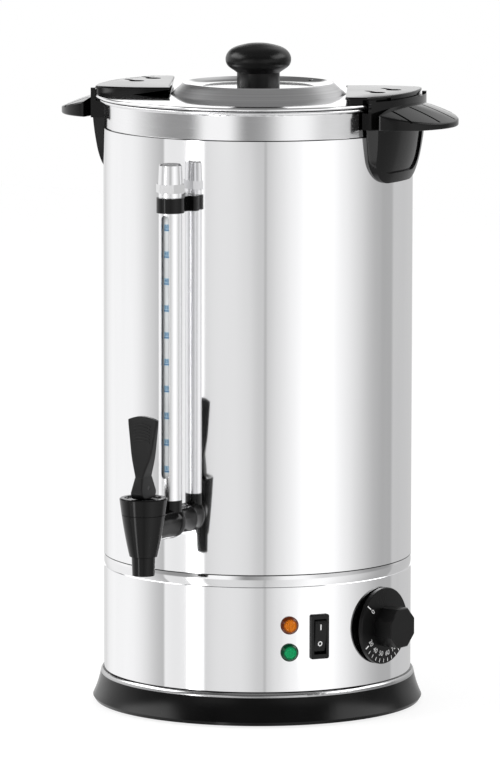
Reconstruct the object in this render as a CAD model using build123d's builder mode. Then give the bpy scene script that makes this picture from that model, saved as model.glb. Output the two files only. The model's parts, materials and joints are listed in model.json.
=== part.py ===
"""Hot water urn: double-walled boiler with a twist-lock lid, a lever tap and a sight gauge.

Millimetres, +Z up. The origin is the centre of the foot on the floor, and the tap points to -Y.
Angles round the urn are in degrees from the tap (-Y) towards +X.
"""
import os
from math import cos, degrees, radians, sin, sqrt, tan

from build123d import *

# ---- fits and clearances ----
RUN_FIT = 0.05  # radial gap of a shaft in its bearing
SEAT_FIT = 0.1  # radial gap of a fixed piece in its hole
MOVE_GAP = 0.5  # gap beside a piece that moves
SHEET = 0.8  # stainless sheet

# ---- foot and base housing ----
BODY_R = 110.0
FOOT_FLARE = 8.0  # how far the foot's lower edge stands out from the body
FOOT_STEP = 2.5  # how far its upper edge stands out
FOOT_TOP_Z = 20.6
FOOT_LIFT = 1.5  # floor gap under the plastic foot
FOOT_WALL = 3.5
FLANGE_T = 3.0
PAD_H = 5.0
PAD_R = 8.0
PAD_INSET = 12.0  # from the body's wall in to the circle of the pads
TRIM_H = 3.9
PLATE_T = 1.2
VENT_CIRCLES = (34.0, 48.0, 62.0)
VENT_SLOT_L = 12.0
VENT_SLOT_W = 3.0
BASE_SCREW_R = 1.9
BASE_SCREW_L = 14.0
PAN_HEAD_R = 3.6  # heads of the screws in foot and lugs
PAN_HEAD_H = 2.2
HOUSING_TOP_Z = 98.5
JOINT_H = 8.5  # height of the bright band between housing and shell
JOINT_SINK = 0.7  # how far the edges of that band lie inside the body's wall
JOINT_CROWN = 0.6
JOINT_OVERLAP = 6.0

# ---- shell and tank ----
SHELL_TOP_Z = 413.0
TANK_GAP = 6.2  # between the outside of the body and the tank
TANK_FLOOR_Z = 115.0
TANK_CORNER_R = 8.0
SHELF_W = 12.0  # ledge under the tank, inwards from its wall
NECK_STEP = 1.7  # how far the neck lies inside the body's wall
NECK_TOP_Z = 431.0
RIM_REACH = 4.7  # rolled rim, outwards from the neck
RIM_H = 2.6
SHOULDER_H = 9.0  # height over which the tank widens to its neck

# ---- lid ----
LID_OVERHANG = 2.5  # beyond the rolled rim
LID_Z = 436.2  # top of the flat annulus
LID_GAP = 0.4  # height of the seal that shows between rim and lid
ANNULUS_W = 53.1
PLATEAU_SLOPE_W = 8.9
PLATEAU_H = 8.2
DISH_H = 3.0
DISH_SLOPE_W = 17.0
SKIRT_GAP = 0.9
SKIRT_H = 12.0
BEAD_W = 2.4
KNOB_R = 23.3
KNOB_NECK_R = 15.2
KNOB_H = 31.0
KNOB_NECK_H = 10.0
KNOB_SCREW_R = 2.0
KNOB_SCREW_L = 13.0
KNOB_SCREW_HEAD_R = 4.0
STEAM_VENT_R = 1.7
STEAM_VENT_CIRCLE_R = 49.0
STEAM_VENT_ANGLE = 158.0

# ---- lid lugs and lock ----
LUG_ANGLE = 90.0
LUG_OVERHANG = 0.5  # beyond the lid
LUG_H = 5.3
LUG_PLATE_T = 1.8
LUG_LIP = 0.7  # how far the top plate stands out over the body of the lug
LUG_REAR_SPAN = 28.0
LUG_FRONT_SPAN = 21.0
LUG_CORNER_INSET = 21.2
LUG_CORNER_Y = -49.3
LUG_BULGE_INSET = 40.0
LUG_BULGE_Y = 51.0
LUG_TIP_ANGLES = (22.0, 38.0)  # stretch of the plateau's foot that the lug follows
LUG_TIP_T = 1.2
LUG_UNDERCUT_W = 27.0  # from the plateau outwards
LUG_SCREW_R = 1.9
LUG_SCREW_L = 8.0
LUG_SCREW_INSET = 19.1
LUG_SCREW_SHIFT = 8.8
LUG_SCREW_PITCH = 24.8
LUG_NUT_R = 3.5
LUG_NUT_H = 3.0
POCKET_R = 5.6
POCKET_H = 3.2
TAIL_L = 16.0  # slot that runs out of each screw pocket
TAIL_W = 4.0
TAIL_ANGLE = 31.5
LOCK_TURN = 10.0
NIB_Z = 437.3
NIB_H = 1.8
NIB_REACH = 2.6

# ---- handles ----
HANDLE_ANGLE = 91.6
COLLAR_GAP = 0.6  # between the lugs and the collar
COLLAR_WALL = 3.0
COLLAR_TOP_Z = 438.0
POST_W = 4.4
POST_ANGLE = 21.3
POST_TOP_Z = 439.5
GRIP_Z = 418.3
GRIP_REACH = 41.5
GRIP_HALF_W = 46.5
GRIP_ROOT_Z = 435.0
GRIP_MID_REACH = 19.0
GRIP_MID_DROP = 6.0
GRIP_TIP_Z = 421.6
GRIP_EDGE_R = 1.3
CROWN_R = 180.0  # sideways curve of the grip's top
CROWN_SPAN = 18.0
GROOVE_COUNT = 4
GROOVE_PITCH = 9.8
GROOVE_W = 2.2
GROOVE_DEPTH = 1.1
GROOVE_START = 4.0
GROOVE_END = 2.6
TONGUE_BOTTOM_Z = 379.0
TONGUE_W = 77.0
TONGUE_CORNER_R = 20.0
TONGUE_TOP_T = 9.0
TONGUE_BOTTOM_T = 2.7
PANEL_W = 61.0
PANEL_RISE = 7.0  # of the panel's lower edge above the tongue's
PANEL_CORNER_R = 13.0
PANEL_DEPTH = 1.5
HANDLE_SCREW_Z = 399.0
HANDLE_SCREW_PITCH = 40.0
HANDLE_SCREW_R = 2.0
HANDLE_HEAD_R = 3.2
HANDLE_SCREW_L = 5.4

# ---- tap ----
TAP_Z = 146.0  # height of the water passage
TAP_REACH = 38.8  # tap axis from the axis of the gauge
SPOUT_Z = 114.0
SPOUT_R = 7.8
SPOUT_WALL = 2.4
CONE_Z = 127.5
CONE_R = 9.8
CONE_TOP_R = 15.2
CAP_Z = 156.6
CAP_TOP_Z = 168.6
CAP_TOP_R = 16.7
CAP_DISH = 1.0
CAP_RIM_W = 3.4
THREAD_INSET = 2.2
THREAD_H = 8.0
CHAMBER_INSET = 4.6
PASSAGE_R = 5.0
ARM_R = 10.5
ELBOW_R = 11.3
SHANK_R = 8.0
SHANK_TAIL = 17.0  # threaded end inside the tank
TAP_NUT_R = 11.0
TAP_NUT_H = 7.0
WASHER_T = 4.0
STEM_R = 2.1
STEM_EYE_R = 3.0
SEAT_R = 6.4
SEAT_Z = 131.5
SPRING_SEAT_H = 17.5  # above the valve seat
SPRING_SEAT_T = 1.5
SPRING_TURNS = 5
SPRING_WIRE_R = 0.45
SPRING_GAP = 3.2
PIN_R = 1.5
PIN_LIFT = 7.0  # lever pin above the cap
LEVER_SWING = 32.0
LEVER_FOOT_GAP = 0.25
LEVER_FOOT_W = 10.5
LEVER_FOOT_D = 21.0
LEVER_FOOT_CORNER = 5.2
LEVER_NECK_Z = 183.0
LEVER_NECK_W = 6.6
LEVER_NECK_D = 14.0
LEVER_CORNER = 1.2
LEVER_TOP_Z = 225.5
LEVER_TOP_W = 23.0
LEVER_TOP_T = 3.4
LEVER_TOP_ARC_R = 25.0
RIDGE_COUNT = 6
RIDGE_PITCH = 2.2
RIDGE_HALF_W = 6.5
RIDGE_FALL = 1.4  # how far a ridge drops from its middle to its ends
RIDGE_W = 0.8
RIDGE_H = 0.65
PADDLE_GROWTH = 0.19  # half thickness that the paddle gains per ridge

# ---- sight gauge ----
GAUGE_STANDOFF = 19.7  # from the body's wall to the axis of the gauge
GUARD_R = 8.2
GUARD_Z = 162.0
GUARD_TOP_Z = 377.4
SOCKET_DEPTH = 10.0
GLASS_R = 5.5
GLASS_WALL = 1.4
GLASS_RISE = 8.0  # above the foot of the cap
SLOT_W = 6.2
SLOT_Z = 177.5
SLOT_TOP_Z = 362.0
SEAL_H = 3.0
SEAL_W = 1.0
GAUGE_CAP_TOP_Z = 397.5
CAP_SPIGOT_L = 14.0
HEX_Z = 377.6
HEX_H = 6.0
HEX_AF = 18.0
HEX_TURN = 12.0
CLAMP_Z = 363.5
CLAMP_H = 10.5
CLAMP_WALL = 1.6
CLAMP_NECK_W = 11.0
CLAMP_FOOT_W = 22.0
CLAMP_FOOT_T = 5.0
CLAMP_SCREW_R = 1.5
CLAMP_SCREW_L = 8.5

# ---- controls on the base housing ----
LAMP_ANGLE = 39.8
LAMP_AMBER_Z = 71.8
LAMP_GREEN_Z = 52.5
LAMP_R = 6.35
LAMP_FLANGE_T = 1.3
LAMP_CONE_H = 2.2
LAMP_DOME_R = 4.0
LAMP_DOME_H = 1.2
LAMP_STEM_R = 4.8
LAMP_STEM_L = 14.0
LAMP_CLIP_R = 7.5
LAMP_CLIP_T = 1.5
SWITCH_ANGLE = 51.3
SWITCH_Z = 62.8
SWITCH_W = 14.0
SWITCH_H = 31.7
SWITCH_PROUD = 2.0
SWITCH_LIP = 1.0  # how far the bezel covers the edge of its hole
SWITCH_DEPTH = 18.0
ROCKER_W = 8.4
ROCKER_H = 24.0
ROCKER_TILT = 8.0
ROCKER_PIVOT_DEPTH = 3.0  # pivot below the front of the bezel
ROCKER_END_R = 2.4
ROCKER_RIDGE = 0.9
TRUNNION_R = 1.2
TRUNNION_L = 1.3
DIAL_ANGLE = 80.5
DIAL_Z = 65.0
DIAL_GAP = 0.8  # between the wall and the back of the dial
DIAL_R = 27.2
DIAL_T = 3.0
DIAL_BEVEL = 0.5
DIAL_CROWN = 0.8
GRIP_AF = 27.0
GRIP_L = 15.2
SPINDLE_R = 3.0
SPINDLE_L = 15.0
BUSH_R = 5.0

# ---- heater and wiring parts ----
ELEMENT_INSET = 33.8  # heater ring, inwards from the tank's wall
ELEMENT_R = 4.0
ELEMENT_Z = 131.0
ELEMENT_SWEEP = 325.0
ELEMENT_TAIL = 16.0
ELEMENT_NUT_R = 8.0
ELEMENT_NUT_H = 6.0
CUTOUT_Y = -30.0
CUTOUT_R = 8.5
CUTOUT_CAP_H = 2.5
CUTOUT_BODY_R = 7.0
CUTOUT_BODY_H = 7.5
CUTOUT_EAR_L = 26.0
CUTOUT_EAR_W = 7.0
CUTOUT_TAB_PITCH = 11.0
TAB_W = 6.3  # push-on tabs of all electric parts
TAB_T = 0.8
TAB_L = 7.0
THERMOSTAT_W = 40.0
THERMOSTAT_H = 34.0
THERMOSTAT_D = 26.0
THERMOSTAT_GAP = 4.0
THERMOSTAT_TAB_PITCH = 12.0
CAPILLARY_R = 1.0
CAPILLARY_BEND_R = 6.0
BULB_R = 3.2
BULB_L = 60.0
BULB_DROP = 4.0
BLOCK_Y = 66.0
BLOCK_W = 34.0
BLOCK_D = 18.0
BLOCK_H = 14.0
BLOCK_PITCH = 11.0
GLAND_ANGLE = 180.0
GLAND_Z = 48.0
GLAND_R = 8.0
GLAND_FLANGE_R = 11.0
GLAND_HEX_R = 8.6
GLAND_DEPTH = 12.0
GLAND_NUT_R = 10.5
CORD_R = 3.6

# ---- sizes that follow from the ones above ----
FOOT_R = BODY_R + FOOT_FLARE
FOOT_TOP_R = BODY_R + FOOT_STEP
PAD_CIRCLE_R = BODY_R - PAD_INSET
FLANGE_IN_R = PAD_CIRCLE_R - PAD_R - 2
BODY_IN_R = BODY_R - SHEET
SHELL_Z = HOUSING_TOP_Z + JOINT_H
TANK_R = BODY_R - TANK_GAP
NECK_R = BODY_R - NECK_STEP
RIM_R = NECK_R + RIM_REACH
RIM_TOP_Z = NECK_TOP_Z + RIM_H
LID_R = RIM_R + LID_OVERHANG
LID_UNDER_Z = LID_Z - SHEET
SKIRT_R = NECK_R - SHEET - SKIRT_GAP
PLATEAU_FOOT_R = LID_R - ANNULUS_W
PLATEAU_R = PLATEAU_FOOT_R - PLATEAU_SLOPE_W
PLATEAU_Z = LID_Z + PLATEAU_H
KNOB_Z = PLATEAU_Z - DISH_H
BEAD_H = LID_Z - RIM_TOP_Z - LID_GAP
LUG_R = LID_R + LUG_OVERHANG
LUG_TOP_Z = LID_Z + LUG_H
POCKET_Z = LUG_TOP_Z - POCKET_H
LUG_SCREW_AT = LUG_R - LUG_SCREW_INSET
COLLAR_R = LUG_R + COLLAR_GAP
COLLAR_OUT_R = COLLAR_R + COLLAR_WALL
COLLAR_SPAN = POST_ANGLE + degrees(POST_W / 2 / COLLAR_R)
GRIP_TIP_R = BODY_R + GRIP_REACH
CROWN_Z = GRIP_ROOT_Z - CROWN_R
HEAD_SEAT_R = sqrt(BODY_IN_R**2 - (HANDLE_SCREW_PITCH / 2 + HANDLE_HEAD_R) ** 2) - SEAT_FIT
GAUGE_R = BODY_R + GAUGE_STANDOFF
TAP_R = GAUGE_R + TAP_REACH
TAP_Y = -TAP_R
ARM_END = TAP_R - CONE_TOP_R - 6  # where the tap's inlet meets the arm
THREAD_R = CONE_TOP_R - THREAD_INSET
THREAD_TOP_Z = CAP_Z + THREAD_H
PIN_Z = CAP_TOP_Z + PIN_LIFT
SPRING_SEAT_Z = SEAT_Z + SPRING_SEAT_H
LEVER_FOOT_Z = CAP_TOP_Z - CAP_DISH + LEVER_FOOT_GAP
GLASS_Z = GUARD_Z - SOCKET_DEPTH + 0.2
GLASS_TOP_Z = HEX_Z + GLASS_RISE
CLAMP_MID_Z = CLAMP_Z + CLAMP_H / 2
ELEMENT_RING_R = TANK_R - ELEMENT_INSET
PLATE_TOP_Z = FOOT_TOP_Z + PLATE_T
BULB_Z = TANK_FLOOR_Z - BULB_DROP


def wall_plane(angle, height, radius=BODY_R):
    """Plane on the wall of the urn: X runs round the urn, Y up and Z outwards."""
    a = radians(angle)
    return Plane(
        origin=(radius * sin(a), -radius * cos(a), height),
        x_dir=(cos(a), sin(a), 0),
        z_dir=(sin(a), -cos(a), 0),
    )


def side_plane(angle):
    """Upright plane through the urn's axis: X outwards at this angle and Y up."""
    a = radians(angle)
    return Plane(origin=(0, 0, 0), x_dir=(sin(a), -cos(a), 0), z_dir=(-cos(a), -sin(a), 0))


def plan_plane(angle, height):
    """Level plane: X outwards at this angle and Y round the urn."""
    a = radians(angle)
    return Plane(origin=(0, 0, height), x_dir=(sin(a), -cos(a), 0), z_dir=(0, 0, 1))


def upright_plane(x=0.0, y=0.0):
    """Plane facing -Y through (x, y): sketch X is +X and sketch Y is the height."""
    return Plane(origin=(x, y, 0), x_dir=(1, 0, 0), z_dir=(0, -1, 0))


def section_plane(wall):
    """Plane through the axis of a round piece on the wall: X sideways and Y outwards."""
    return Plane(origin=wall.origin, x_dir=wall.x_dir, z_dir=-wall.y_dir)


def outward_axis(wall):
    return Axis(wall.origin, wall.z_dir)


def upright_axis(x=0.0, y=0.0):
    return Axis((x, y, 0), (0, 0, 1))


def profile(points, x=0.0, y=0.0):
    """Closed outline of (radius, height) points beside the upright axis through (x, y)."""
    with BuildSketch(upright_plane(x, y)) as outline:
        with BuildLine():
            Polyline(*points, close=True)
        make_face()
    return outline.sketch


def finish(builder, name):
    """Label a finished piece and write it as its own STEP file."""
    builder.part.label = name
    export_step(builder.part, f"parts/{name}.step")


os.makedirs("parts", exist_ok=True)

# ======================= foot and base housing =======================

with BuildPart() as base_ring:
    with BuildSketch(Plane.XZ):
        with BuildLine():
            Polyline(
                (FOOT_R - FOOT_WALL, FOOT_LIFT),
                (FOOT_R - 1.5, FOOT_LIFT),
                (FOOT_R, FOOT_LIFT + 2.5),
            )
            ThreePointArc(
                (FOOT_R, FOOT_LIFT + 2.5),
                ((FOOT_R + FOOT_TOP_R) / 2 - 0.5, (FOOT_LIFT + FOOT_TOP_Z) / 2 + 1),
                (FOOT_TOP_R, FOOT_TOP_Z),
            )
            Polyline(
                (FOOT_TOP_R, FOOT_TOP_Z),
                (FLANGE_IN_R, FOOT_TOP_Z),
                (FLANGE_IN_R, FOOT_TOP_Z - FLANGE_T),
                (FOOT_TOP_R - FOOT_WALL, FOOT_TOP_Z - FLANGE_T),
                (FOOT_R - FOOT_WALL, FOOT_LIFT),
            )
        make_face()
    revolve(axis=Axis.Z)
    with BuildSketch(Plane.XY.offset(PAD_H)):
        with PolarLocations(PAD_CIRCLE_R, 4, start_angle=45):
            Circle(PAD_R - 1)
    extrude(until=Until.NEXT)
    with BuildSketch(Plane.XY.offset(PAD_H)):
        with PolarLocations(PAD_CIRCLE_R, 4, start_angle=45):
            Circle(BASE_SCREW_R + SEAT_FIT)
    extrude(amount=FOOT_TOP_Z, mode=Mode.SUBTRACT)
finish(base_ring, "base_ring")

with BuildPart() as foot_pads:
    with PolarLocations(PAD_CIRCLE_R, 4, start_angle=45):
        Cylinder(PAD_R, PAD_H, align=(Align.CENTER, Align.CENTER, Align.MIN))
    fillet(foot_pads.edges().group_by(Axis.Z)[0], 1.0)
finish(foot_pads, "foot_pads")

with BuildPart() as base_trim_ring:
    with BuildSketch(Plane.XZ):
        with BuildLine():
            Line((BODY_R + SEAT_FIT, FOOT_TOP_Z + TRIM_H), (BODY_R + SEAT_FIT, FOOT_TOP_Z))
            Line((BODY_R + SEAT_FIT, FOOT_TOP_Z), (FOOT_TOP_R - 0.2, FOOT_TOP_Z))
            ThreePointArc(
                (FOOT_TOP_R - 0.2, FOOT_TOP_Z),
                (FOOT_TOP_R - 0.9, FOOT_TOP_Z + 0.7 * TRIM_H),
                (BODY_R + SEAT_FIT, FOOT_TOP_Z + TRIM_H),
            )
        make_face()
    revolve(axis=Axis.Z)
finish(base_trim_ring, "base_trim_ring")

with BuildPart() as base_plate:
    with BuildSketch(Plane.XY.offset(FOOT_TOP_Z)):
        Circle(BODY_IN_R - SEAT_FIT)
        with PolarLocations(PAD_CIRCLE_R, 4, start_angle=45):
            Circle(BASE_SCREW_R + MOVE_GAP, mode=Mode.SUBTRACT)
        for vent_circle_r in VENT_CIRCLES:
            with PolarLocations(vent_circle_r, 8):
                SlotOverall(VENT_SLOT_L, VENT_SLOT_W, rotation=90, mode=Mode.SUBTRACT)
    extrude(amount=PLATE_T)
finish(base_plate, "base_plate")

with BuildPart() as base_screws:
    with BuildSketch(Plane.XY.offset(PLATE_TOP_Z)):
        with PolarLocations(PAD_CIRCLE_R, 4, start_angle=45):
            Circle(PAN_HEAD_R)
    extrude(amount=PAN_HEAD_H)
    fillet(base_screws.edges().group_by(Axis.Z)[-1], 1.0)
    with BuildSketch(Plane.XY.offset(PLATE_TOP_Z)):
        with PolarLocations(PAD_CIRCLE_R, 4, start_angle=45):
            Circle(BASE_SCREW_R)
    extrude(amount=-BASE_SCREW_L)
finish(base_screws, "base_screws")

with BuildPart() as base_housing:
    with BuildSketch(Plane.XY.offset(FOOT_TOP_Z)):
        Circle(BODY_R)
        Circle(BODY_IN_R, mode=Mode.SUBTRACT)
    extrude(amount=HOUSING_TOP_Z - FOOT_TOP_Z)
    for lamp_z in (LAMP_AMBER_Z, LAMP_GREEN_Z):
        with BuildSketch(wall_plane(LAMP_ANGLE, lamp_z)):
            Circle(LAMP_STEM_R + SEAT_FIT)
        extrude(amount=10, both=True, mode=Mode.SUBTRACT)
    with BuildSketch(wall_plane(SWITCH_ANGLE, SWITCH_Z)):
        Rectangle(SWITCH_W - 2 * SWITCH_LIP + 0.4, SWITCH_H - 2 * SWITCH_LIP)
    extrude(amount=10, both=True, mode=Mode.SUBTRACT)
    with BuildSketch(wall_plane(DIAL_ANGLE, DIAL_Z)):
        Circle(BUSH_R + SEAT_FIT)
    extrude(amount=10, both=True, mode=Mode.SUBTRACT)
    with BuildSketch(wall_plane(GLAND_ANGLE, GLAND_Z)):
        Circle(GLAND_R + SEAT_FIT)
    extrude(amount=10, both=True, mode=Mode.SUBTRACT)
finish(base_housing, "base_housing")

# The joint ring is a spigot inside housing and shell, with a bright rolled band between them
# and a shelf that carries the tank.
with BuildPart() as joint_ring:
    spigot_r = BODY_IN_R - SEAT_FIT
    band_r = BODY_R - JOINT_SINK
    with BuildSketch(Plane.XZ):
        with BuildLine():
            Polyline(
                (band_r, SHELL_Z),
                (spigot_r, SHELL_Z),
                (spigot_r, TANK_FLOOR_Z),
                (TANK_R - SHELF_W, TANK_FLOOR_Z),
                (TANK_R - SHELF_W, TANK_FLOOR_Z - SHEET),
                (spigot_r - SHEET, TANK_FLOOR_Z - SHEET),
                (spigot_r - SHEET, HOUSING_TOP_Z - JOINT_OVERLAP),
                (spigot_r, HOUSING_TOP_Z - JOINT_OVERLAP),
                (spigot_r, HOUSING_TOP_Z),
                (band_r, HOUSING_TOP_Z),
            )
            ThreePointArc(
                (band_r, HOUSING_TOP_Z),
                (band_r + JOINT_CROWN, HOUSING_TOP_Z + JOINT_H / 2),
                (band_r, SHELL_Z),
            )
        make_face()
    revolve(axis=Axis.Z)
finish(joint_ring, "joint_ring")

# ======================= shell and tank =======================

with BuildPart() as outer_shell:
    revolve(
        profile(
            [
                (BODY_R, SHELL_Z),
                (BODY_R, SHELL_TOP_Z),
                (NECK_R + SEAT_FIT, SHELL_TOP_Z),
                (NECK_R + SEAT_FIT, SHELL_TOP_Z - SHEET),
                (BODY_IN_R, SHELL_TOP_Z - SHEET),
                (BODY_IN_R, SHELL_Z),
            ]
        ),
        axis=Axis.Z,
    )
    fillet(outer_shell.edges().group_by(Axis.Z)[-1].sort_by(SortBy.RADIUS)[-1], 0.5)
    with BuildSketch(wall_plane(0, TAP_Z)):
        Circle(SHANK_R + SEAT_FIT)
    extrude(amount=6, both=True, mode=Mode.SUBTRACT)
    with BuildSketch(wall_plane(0, CLAMP_MID_Z)):
        Circle(CLAMP_SCREW_R + 2 * SEAT_FIT)
    extrude(amount=6, both=True, mode=Mode.SUBTRACT)
    for side_angle in (HANDLE_ANGLE, HANDLE_ANGLE + 180):
        with BuildSketch(wall_plane(side_angle, HANDLE_SCREW_Z)):
            with GridLocations(HANDLE_SCREW_PITCH, 1, 2, 1):
                Circle(HANDLE_SCREW_R + SEAT_FIT)
        extrude(amount=16, both=True, mode=Mode.SUBTRACT)
finish(outer_shell, "outer_shell")

with BuildPart() as inner_tank:
    tank_in_r = TANK_R - SHEET
    neck_in_r = NECK_R - SHEET
    shoulder_z = SHELL_TOP_Z - 2 - SHOULDER_H
    with BuildSketch(Plane.XZ):
        with BuildLine():
            Polyline(
                (0, TANK_FLOOR_Z + SHEET),
                (0, TANK_FLOOR_Z),
                (TANK_R - TANK_CORNER_R, TANK_FLOOR_Z),
            )
            RadiusArc(
                (TANK_R - TANK_CORNER_R, TANK_FLOOR_Z),
                (TANK_R, TANK_FLOOR_Z + TANK_CORNER_R),
                -TANK_CORNER_R,
            )
            Polyline(
                (TANK_R, TANK_FLOOR_Z + TANK_CORNER_R),
                (TANK_R, shoulder_z),
                (NECK_R, shoulder_z + SHOULDER_H),
                (NECK_R, NECK_TOP_Z - 1.0),
            )
            ThreePointArc(
                (NECK_R, NECK_TOP_Z - 1.0),
                (NECK_R + 0.6, NECK_TOP_Z - 0.2),
                (NECK_R + 1.6, NECK_TOP_Z),
            )
            Line((NECK_R + 1.6, NECK_TOP_Z), (RIM_R - RIM_H / 2, NECK_TOP_Z))
            ThreePointArc(
                (RIM_R - RIM_H / 2, NECK_TOP_Z),
                (RIM_R, NECK_TOP_Z + RIM_H / 2),
                (RIM_R - RIM_H / 2, RIM_TOP_Z),
            )
            Line((RIM_R - RIM_H / 2, RIM_TOP_Z), (neck_in_r + 1.5, RIM_TOP_Z))
            RadiusArc((neck_in_r + 1.5, RIM_TOP_Z), (neck_in_r, RIM_TOP_Z - 1.5), -1.5)
            Polyline(
                (neck_in_r, RIM_TOP_Z - 1.5),
                (neck_in_r, shoulder_z + SHOULDER_H),
                (tank_in_r, shoulder_z),
                (tank_in_r, TANK_FLOOR_Z + TANK_CORNER_R),
            )
            RadiusArc(
                (tank_in_r, TANK_FLOOR_Z + TANK_CORNER_R),
                (TANK_R - TANK_CORNER_R, TANK_FLOOR_Z + SHEET),
                TANK_CORNER_R - SHEET,
            )
            Line((TANK_R - TANK_CORNER_R, TANK_FLOOR_Z + SHEET), (0, TANK_FLOOR_Z + SHEET))
        make_face()
    revolve(axis=Axis.Z)
    with BuildSketch(wall_plane(0, TAP_Z, TANK_R)):
        Circle(SHANK_R + SEAT_FIT)
    extrude(amount=6, both=True, mode=Mode.SUBTRACT)
    with BuildSketch(Plane.XY.offset(TANK_FLOOR_Z)):
        with PolarLocations(ELEMENT_RING_R, 2, 90, ELEMENT_SWEEP, endpoint=True):
            Circle(ELEMENT_R + SEAT_FIT)
    extrude(amount=5, both=True, mode=Mode.SUBTRACT)
finish(inner_tank, "inner_tank")

# ======================= heater, thermostat and wiring parts =======================

with BuildPart() as heating_element:
    with BuildLine(Plane.XY.offset(ELEMENT_Z)) as ring_path:
        CenterArc((0, 0), ELEMENT_RING_R, 90, ELEMENT_SWEEP)
    with BuildSketch(Plane(origin=ring_path.line @ 0, z_dir=ring_path.line % 0)):
        Circle(ELEMENT_R)
    sweep()
    with BuildSketch(Plane.XY.offset(ELEMENT_Z)):
        with PolarLocations(ELEMENT_RING_R, 2, 90, ELEMENT_SWEEP, endpoint=True):
            Circle(ELEMENT_R)
    extrude(amount=-(ELEMENT_Z - TANK_FLOOR_Z + ELEMENT_TAIL))
    with PolarLocations(ELEMENT_RING_R, 2, 90, ELEMENT_SWEEP, endpoint=True):
        with Locations((0, 0, ELEMENT_Z)):
            Sphere(ELEMENT_R)
finish(heating_element, "heating_element")

with BuildPart() as element_nuts:
    with BuildSketch(Plane.XY.offset(TANK_FLOOR_Z - ELEMENT_NUT_H)):
        with PolarLocations(ELEMENT_RING_R, 2, 90, ELEMENT_SWEEP, endpoint=True):
            RegularPolygon(ELEMENT_NUT_R, 6, major_radius=False)
            Circle(ELEMENT_R + RUN_FIT, mode=Mode.SUBTRACT)
    extrude(amount=ELEMENT_NUT_H)
finish(element_nuts, "element_nuts")

with BuildPart() as thermal_cutout:
    hanging = (Align.CENTER, Align.CENTER, Align.MAX)
    with Locations((0, CUTOUT_Y, TANK_FLOOR_Z)):
        Cylinder(CUTOUT_R, CUTOUT_CAP_H, align=hanging)
        Box(CUTOUT_EAR_L, CUTOUT_EAR_W, PLATE_T, align=hanging)
    with Locations((0, CUTOUT_Y, TANK_FLOOR_Z - CUTOUT_CAP_H)):
        Cylinder(CUTOUT_BODY_R, CUTOUT_BODY_H, align=hanging)
    with Locations((0, CUTOUT_Y, TANK_FLOOR_Z - CUTOUT_CAP_H - CUTOUT_BODY_H)):
        with GridLocations(CUTOUT_TAB_PITCH, 1, 2, 1):
            Box(TAB_T, TAB_W, TAB_L, align=hanging)
finish(thermal_cutout, "thermal_cutout")

dial_wall = wall_plane(DIAL_ANGLE, DIAL_Z)
thermostat_back = dial_wall.offset(-THERMOSTAT_GAP - THERMOSTAT_D)
with BuildPart() as thermostat_body:
    with BuildSketch(thermostat_back):
        RectangleRounded(THERMOSTAT_W, THERMOSTAT_H, 3)
    extrude(amount=THERMOSTAT_D)
    with BuildSketch(dial_wall):
        Circle(BUSH_R)
    extrude(amount=-THERMOSTAT_GAP)
    with BuildSketch(thermostat_back):
        with GridLocations(THERMOSTAT_TAB_PITCH, THERMOSTAT_H / 2, 3, 1):
            Rectangle(TAB_T, TAB_W)
    extrude(amount=-TAB_L)
    with BuildSketch(dial_wall):
        Circle(SPINDLE_R + RUN_FIT)
    extrude(amount=-18, mode=Mode.SUBTRACT)
finish(thermostat_body, "thermostat_body")

# The sensing tube rises from the thermostat and ends in a bulb that lies under the tank.
with BuildPart() as thermostat_bulb:
    tube_start = dial_wall.from_local_coords((0, THERMOSTAT_H / 2, -THERMOSTAT_GAP - THERMOSTAT_D / 2))
    with BuildLine() as capillary:
        FilletPolyline(
            tube_start,
            tube_start + Vector(0, 0, THERMOSTAT_GAP + 10),
            Vector(tube_start.X - 14, tube_start.Y + 18, BULB_Z),
            Vector(BULB_L / 2, tube_start.Y + 22, BULB_Z),
            radius=CAPILLARY_BEND_R,
        )
    with BuildSketch(Plane(origin=capillary.line @ 0, z_dir=capillary.line % 0)):
        Circle(CAPILLARY_R)
    sweep()
    with BuildSketch(Plane(origin=capillary.line @ 1, z_dir=capillary.line % 1)):
        Circle(BULB_R)
    extrude(amount=BULB_L)
finish(thermostat_bulb, "thermostat_bulb")

with BuildPart() as terminal_block:
    with BuildSketch(Plane.XY.offset(PLATE_TOP_Z)):
        with Locations((0, BLOCK_Y)):
            RectangleRounded(BLOCK_W, BLOCK_D, 2)
    extrude(amount=BLOCK_H)
    with BuildSketch(upright_plane(0, BLOCK_Y)):
        with Locations((0, PLATE_TOP_Z + 0.4 * BLOCK_H)):
            with GridLocations(BLOCK_PITCH, 1, 3, 1):
                Circle(0.2 * BLOCK_PITCH)
    extrude(amount=BLOCK_D, both=True, mode=Mode.SUBTRACT)
    with BuildSketch(Plane.XY.offset(PLATE_TOP_Z + BLOCK_H)):
        with Locations((0, BLOCK_Y)):
            with GridLocations(BLOCK_PITCH, BLOCK_D / 2, 3, 2):
                Circle(0.15 * BLOCK_PITCH)
    extrude(amount=-0.3 * BLOCK_H, mode=Mode.SUBTRACT)
finish(terminal_block, "terminal_block")

gland_wall = wall_plane(GLAND_ANGLE, GLAND_Z)
with BuildPart() as cord_gland:
    with BuildSketch(gland_wall):
        Circle(GLAND_FLANGE_R)
    extrude(amount=0.25 * GLAND_DEPTH)
    with BuildSketch(gland_wall.offset(0.25 * GLAND_DEPTH)):
        RegularPolygon(GLAND_HEX_R, 6, major_radius=False)
    extrude(amount=0.75 * GLAND_DEPTH, taper=6)
    with BuildSketch(gland_wall):
        Circle(GLAND_R)
    extrude(amount=-GLAND_DEPTH)
    with BuildSketch(gland_wall):
        Circle(CORD_R)
    extrude(amount=GLAND_DEPTH, both=True, mode=Mode.SUBTRACT)
finish(cord_gland, "cord_gland")

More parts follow.
